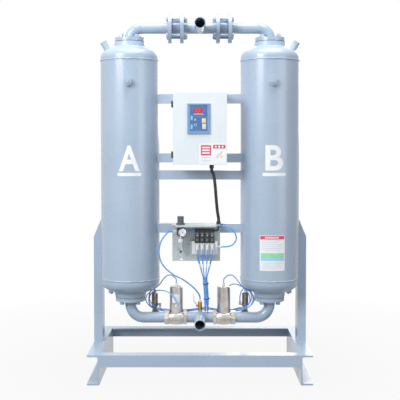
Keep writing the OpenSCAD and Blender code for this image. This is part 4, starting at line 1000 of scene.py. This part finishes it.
def ringOfTicks(count, inner, outer, wide):  # one mark at the start of the scale, then copied round it
    x, z = gauge["x"], gauge["z"]
    back = gauge["seat"] - gauge["film"] - filmGap
    piece = card((x - wide / 2, x + wide / 2), (z - outer, z - inner), back, gauge["ink"])
    inEdit(piece)
    swing((360 - gauge["sweep"]) / 2)
    bpy.ops.mesh.select_all(action="SELECT")
    bpy.ops.mesh.spin(steps=count - 1, angle=math.radians(gauge["sweep"]), center=gaugeAxis, axis=frontBack,
                      dupli=True)
    turnOutward()
    leaveEdit()
    return piece


def dialFigure(text, turn):
    angle, tall = math.radians(gauge["zero"] - turn), gauge["figure"]
    x = gauge["x"] + gauge["figureAt"] * math.cos(angle)
    z = gauge["z"] + gauge["figureAt"] * math.sin(angle)
    piece = writing(text, x, tall * gauge["figureShare"] * len(text), (z - tall / 2, z + tall / 2), 0)
    inEdit(piece)
    drawOut(gauge["ink"])
    turnOutward()
    bpy.ops.transform.translate(value=(0, (gauge["seat"] - gauge["film"] - filmGap) * mm, 0))
    leaveEdit()
    return piece


def dialNeedle():
    x, z, spec = gauge["x"], gauge["z"], gauge["needle"]
    half, back = spec["wide"] / 2, gauge["seat"] - gauge["film"] - spec["lift"]
    along = (z - spec["tail"], z + spec["reach"])
    needle = card((x - half, x + half), along, back, spec["thick"], spec["corner"])
    pickPoints(needle, lambda co: co.z > z * mm)
    bpy.ops.transform.resize(value=(spec["taper"], 1, 1), center_override=gaugeAxis)
    bpy.ops.mesh.select_all(action="SELECT")
    swing(spec["turn"])
    leaveEdit()
    radius, thick = gauge["hub"]
    return joined([needle, disc(x, z, back, thick, radius)])


def pressureGauge():
    x, z, seat = gauge["x"], gauge["z"], gauge["seat"]
    dial = disc(x, z, seat, gauge["film"], gauge["dial"])
    finishPiece(dial, "gaugeDial", "stand", "dialEnamel")
    marks = [ringOfTicks(*gauge["ticks"]), ringOfTicks(*gauge["longTicks"])]
    marks += [dialFigure(text, turn) for text, turn in gauge["figures"]]
    finishPiece(joined(marks), "gaugeScale", "stand", "blackLacquer")
    finishPiece(dialNeedle(), "gaugeNeedle", "stand", "blackLacquer")
    radius, inner, outer = gauge["glass"]
    pane = disc(x, z, seat - inner, outer - inner, radius)
    finishPiece(pane, "gaugePane", "stand", "gaugeGlass")


pressureGauge()
print("gauge dressed")


# coil fronts: plug face with its screw, lamp and printed field on each

coilFront = {
    "x": (-14.8, 12.2, 39.2, 66.2), "face": -186.55, "plugFace": -184.55,
    "plug": ((-9.8, 9.8), (780.2, 794.5)), "plate": 0.9, "corner": 2,
    "screw": {"z": 787.5, "radius": 2.6, "thick": 0.7},
    "lamp": {"x": (-4, 4), "z": (774.2, 779), "rise": 0.9, "edge": 0.4},
    "print": [((-6, 6), (757, 759)), ((-6, 2), (752, 754)), ((-6, 5), (747, 749))],
    "ink": 0.15, "inkCorner": 0.4,
}


def coilFronts():
    face, plugFace = coilFront["face"], coilFront["plugFace"]
    plate = card(*coilFront["plug"], plugFace, coilFront["plate"], coilFront["corner"])
    spec = coilFront["screw"]
    screw = disc(0, spec["z"], plugFace - coilFront["plate"] - filmGap, spec["thick"], spec["radius"])
    spec = coilFront["lamp"]
    (left, right), (low, high) = spec["x"], spec["z"]
    lamp = block((left, face - spec["rise"], low), (right, face, high), spec["edge"])
    ink, corner = coilFront["ink"], coilFront["inkCorner"]
    field = joined([card(x, z, face, ink, corner) for x, z in coilFront["print"]])
    parts = [("coilPlate", plate, "greyNylon"), ("coilScrew", screw, "zincPlate"),
             ("coilLamp", lamp, "printWhite"), ("coilPrint", field, "printGrey")]
    for name, master, finish in parts:
        for k, at in enumerate(coilFront["x"]):
            piece = copied(master)
            piece.location.x = at * mm
            finishPiece(piece, f"{name}{k}", "stand", finish)
        bpy.data.objects.remove(master)


coilFronts()
print("coil fronts fitted")


# black covers over the door's hinge knuckles

hingeCover = {
    "axis": (-148, -278), "z": (1218.8, 1487.3), "tall": 17.4, "bore": 5.05, "radius": 5.4, "sides": 28,
    "top": 0.2, "under": 0.05, "edge": 0.3, "leaf": ((0, -7.3), (5.3, 0)),
}


def hingeCovers():
    (x, y), tall, edge = hingeCover["axis"], hingeCover["tall"], hingeCover["edge"]
    bore, radius = hingeCover["bore"], hingeCover["radius"]
    top, under = tall + hingeCover["top"], tall + hingeCover["under"]
    outline = [(bore, 0), (radius, 0), (radius, top - edge), (radius - edge, top), (0, top), (0, under),
               (bore, under)]
    low, high = hingeCover["leaf"]
    for k, z in enumerate(hingeCover["z"]):
        barrel = turned(outline, (x, y, z), upright, hingeCover["sides"])
        leaf = block((x + low[0], y + low[1], z), (x + high[0], y + high[1], z + tall), edge)
        finishPiece(joined([barrel, leaf]), f"hingeCover{k}", "door", "blackSteel")


hingeCovers()
print("hinges covered")


# what the open door shows: foam seal, the controller's rear lid with its terminals, plate in the box

boxInside = {
    "seal": {"x": (-139, 139), "z": (1168.5, 1543.5), "back": -292.9, "tall": 14.5, "width": 9, "corner": 6,
             "round": 2.5},
    "lid": {"low": (-62.4, -249, 1335.1), "high": (48.4, -238.6, 1485.9), "bevel": 1.6},
    "rib": {"low": (-47, -239, 1400), "high": (33, -237.2, 1402.6), "bevel": 0.6, "count": 9, "pitch": 7.5},
    "terminal": {"low": (-52.6, -239, 1342), "high": (-45.4, -227, 1357), "bevel": 0.5, "rim": 1.5, "deep": 4,
                 "count": 12, "pitch": 7.6},
    "plate": {"low": (-124, -138, 1186), "high": (124, -137.05, 1526), "bevel": 0.4},
}


def insideBlock(name):
    spec = boxInside[name]
    return block(spec["low"], spec["high"], spec["bevel"])


def doorSeal():
    spec = boxInside["seal"]
    piece = card(spec["x"], spec["z"], spec["back"], 0, spec["corner"])
    inEdit(piece)
    bpy.ops.mesh.inset(thickness=spec["width"] * mm)
    bpy.ops.mesh.delete(type="FACE")
    bpy.ops.mesh.select_all(action="SELECT")
    drawOut(-spec["tall"])
    bpy.ops.mesh.bevel(offset=spec["round"] * mm, segments=3, affect="EDGES")
    turnOutward()
    leaveEdit()
    finishPiece(piece, "doorSeal", "door", "sealFoam")


def controllerRear():
    spec = boxInside["rib"]
    ribs = sideBySide(insideBlock("rib"), spec["count"], (0, 0, spec["pitch"]))
    lid = joined([insideBlock("lid"), ribs])
    finishPiece(lid, "controllerLid", "door", "blackNylon")
    spec = boxInside["terminal"]
    terminal = insideBlock("terminal")
    rear = (spec["high"][1] - spec["bevel"] / 10) * mm
    pickPoints(terminal, lambda co: co.y > rear)
    bpy.ops.mesh.inset(thickness=spec["rim"] * mm)
    drawOut(spec["deep"])
    leaveEdit()
    terminals = sideBySide(terminal, spec["count"], (spec["pitch"], 0, 0))
    finishPiece(terminals, "controllerTerminals", "door", "greenPolyamide")


doorSeal()
controllerRear()
finishPiece(insideBlock("plate"), "mountingPlate", "stand", "galvanised")
print("inside of box fitted")


# barrel of each inlet valve: the casting's full round between its two ends

casting = {
    "x": 132.5, "z": 305, "half": 40.7, "bore": 33, "middle": 41.3, "end": 36.6, "lip": 1.2,
    "steps": 12, "sides": 64, "flat": 30.9,  # the top is cut level at this height over the axis
}


def valveCasting(name, side):
    half, steps, bore, lip = casting["half"], casting["steps"], casting["bore"], casting["lip"]
    middle, end = casting["middle"], casting["end"]
    outline = [(bore, -half), (end - lip, -half)]
    for k in range(steps + 1):
        t = 2 * k / steps - 1
        outline.append((middle - (middle - end) * t ** 2, t * (half - lip)))
    outline += [(end - lip, half), (bore, half)]
    piece = turned(outline, (side * casting["x"], tower["y"], casting["z"]), sideways, casting["sides"])
    inEdit(piece)
    bpy.ops.mesh.bisect(plane_co=(0, 0, (casting["z"] + casting["flat"]) * mm), plane_no=upright,
                        use_fill=True, clear_outer=True)
    turnOutward()
    leaveEdit()
    finishPiece(piece, name, "stand", "stainless")


valveCasting("castingLeft", -1)
valveCasting("castingRight", 1)
print("valve castings rounded")


# film wound round the bundle of tubes, with two cable ties

bundleFilm = {"fan": [25.7, -127, 672], "radius": 12.9, "thick": 0.5, "roundness": 8, "ends": (542, 386)}
cableTie = {
    "heights": (512, 424), "bore": 13.45, "thick": 1.3, "width": 4.6, "edge": 0.3, "sides": 40,
    "head": ((-3, -18.4, -3.2), (3, -13.6, 3.2)), "headEdge": 0.8,
}


def bundlePath():  # middle of the ring of tubes
    path = smoothRoute(placedPoints([bundleFilm["fan"]] + [point[:3] for point in bundleRoute]))
    high, low = bundleFilm["ends"]
    return [p for p in path if low * mm < p.z < high * mm]


def windFilm():
    piece = tubeAlong("bundleFilm", bundlePath(), bundleFilm["radius"] * mm, bundleFilm["roundness"], False)
    inEdit(piece)
    turnOutward()
    leaveEdit()
    finishPiece(walled(piece, bundleFilm["thick"]), "bundleFilm", "stand", "polyurethane")


def ringOutline(inner, outer, low, high, edge):  # a band with its outer edges taken off
    return [(inner, low), (outer - edge, low), (outer, low + edge),
            (outer, high - edge), (outer - edge, high), (inner, high)]


def bindTies():
    bore, half = cableTie["bore"], cableTie["width"] / 2
    outline = ringOutline(bore, bore + cableTie["thick"], -half, half, cableTie["edge"])
    ring = turned(outline, (0, 0, 0), upright, cableTie["sides"])
    master = joined([ring, block(*cableTie["head"], cableTie["headEdge"])])
    path = bundlePath()
    for k, height in enumerate(cableTie["heights"]):
        n = min(range(len(path) - 1), key=lambda i: abs(path[i].z - height * mm))
        tie = placed(copied(master), path[n] / mm, path[n] - path[n + 1])
        finishPiece(tie, f"cableTie{k}", "stand", "blackNylon")
    bpy.data.objects.remove(master)


windFilm()
bindTies()
print("bundle bound")


# dark ring between the tower flanges, drawn as the edge of the sheet gasket in its finish: painted shade
# filling the open, shadowed gap

flangeGapShade = {"z": (422.1, 1841.1), "tall": 2.8, "inner": 74, "outer": 81.3, "edge": 0.4, "sides": 72}


def shadeFlangeGaps():
    outline = ringOutline(flangeGapShade["inner"], flangeGapShade["outer"], 0, flangeGapShade["tall"], flangeGapShade["edge"])
    master = turned(outline, (0, 0, 0), upright, flangeGapShade["sides"])
    places = [(side * tower["x"], tower["y"], z) for side in (-1, 1) for z in flangeGapShade["z"]]
    for k, place in enumerate(places):
        edge = placed(copied(master), place, upright)
        finishPiece(edge, f"flangeGapShade{k}", "stand", "gasketSheet")
    bpy.data.objects.remove(master)


shadeFlangeGaps()
print("gasket edges set")


# weld beads where pipes meet elbows and shells meet heads

weldForm = {"sides": 10, "ripple": 0.45, "uniform": 0.2, "normal": 0.7, "soften": 0.35}
welds = {
    "shell": {
        "radius": tower["radius"], "height": 3.2, "segments": 260, "seed": 3,
        "pairs": [(tower["x"], 530, upright), (tower["x"], 1736, upright)], "single": []},
    "pipe": {
        "radius": 30.15, "height": 1.4, "segments": 96, "seed": 7,
        "pairs": [(327, 1918, sideways), (tower["x"], 1856, upright),  # left and right alike: x, z, axis
                  (313, 305, sideways), (tower["x"], 381, upright)],
        "single": [(0, -139, 305, frontBack), (0, -139, 1918, frontBack)]},
}


def weldBead(spec):
    piece = added(bpy.ops.mesh.primitive_torus_add, major_segments=spec["segments"],
                  minor_segments=weldForm["sides"], major_radius=spec["radius"] * mm,
                  minor_radius=spec["height"] * mm)
    inEdit(piece)
    bpy.ops.transform.vertex_random(
        offset=spec["height"] * weldForm["ripple"] * mm, uniform=weldForm["uniform"],
        normal=weldForm["normal"], seed=spec["seed"])
    bpy.ops.mesh.vertices_smooth(factor=weldForm["soften"], repeat=1)
    leaveEdit()
    return piece


for kind, spec in welds.items():
    master = weldBead(spec)
    places = [(side * x, tower["y"], z, axis) for side in (-1, 1) for x, z, axis in spec["pairs"]]
    for k, (x, y, z, axis) in enumerate(places + spec["single"]):
        bead = placed(copied(master), (x, y, z), axis)
        finishPiece(bead, f"{kind}Weld{k}", "stand", "framePaint", angle=60)
    bpy.data.objects.remove(master)
print("welds laid")
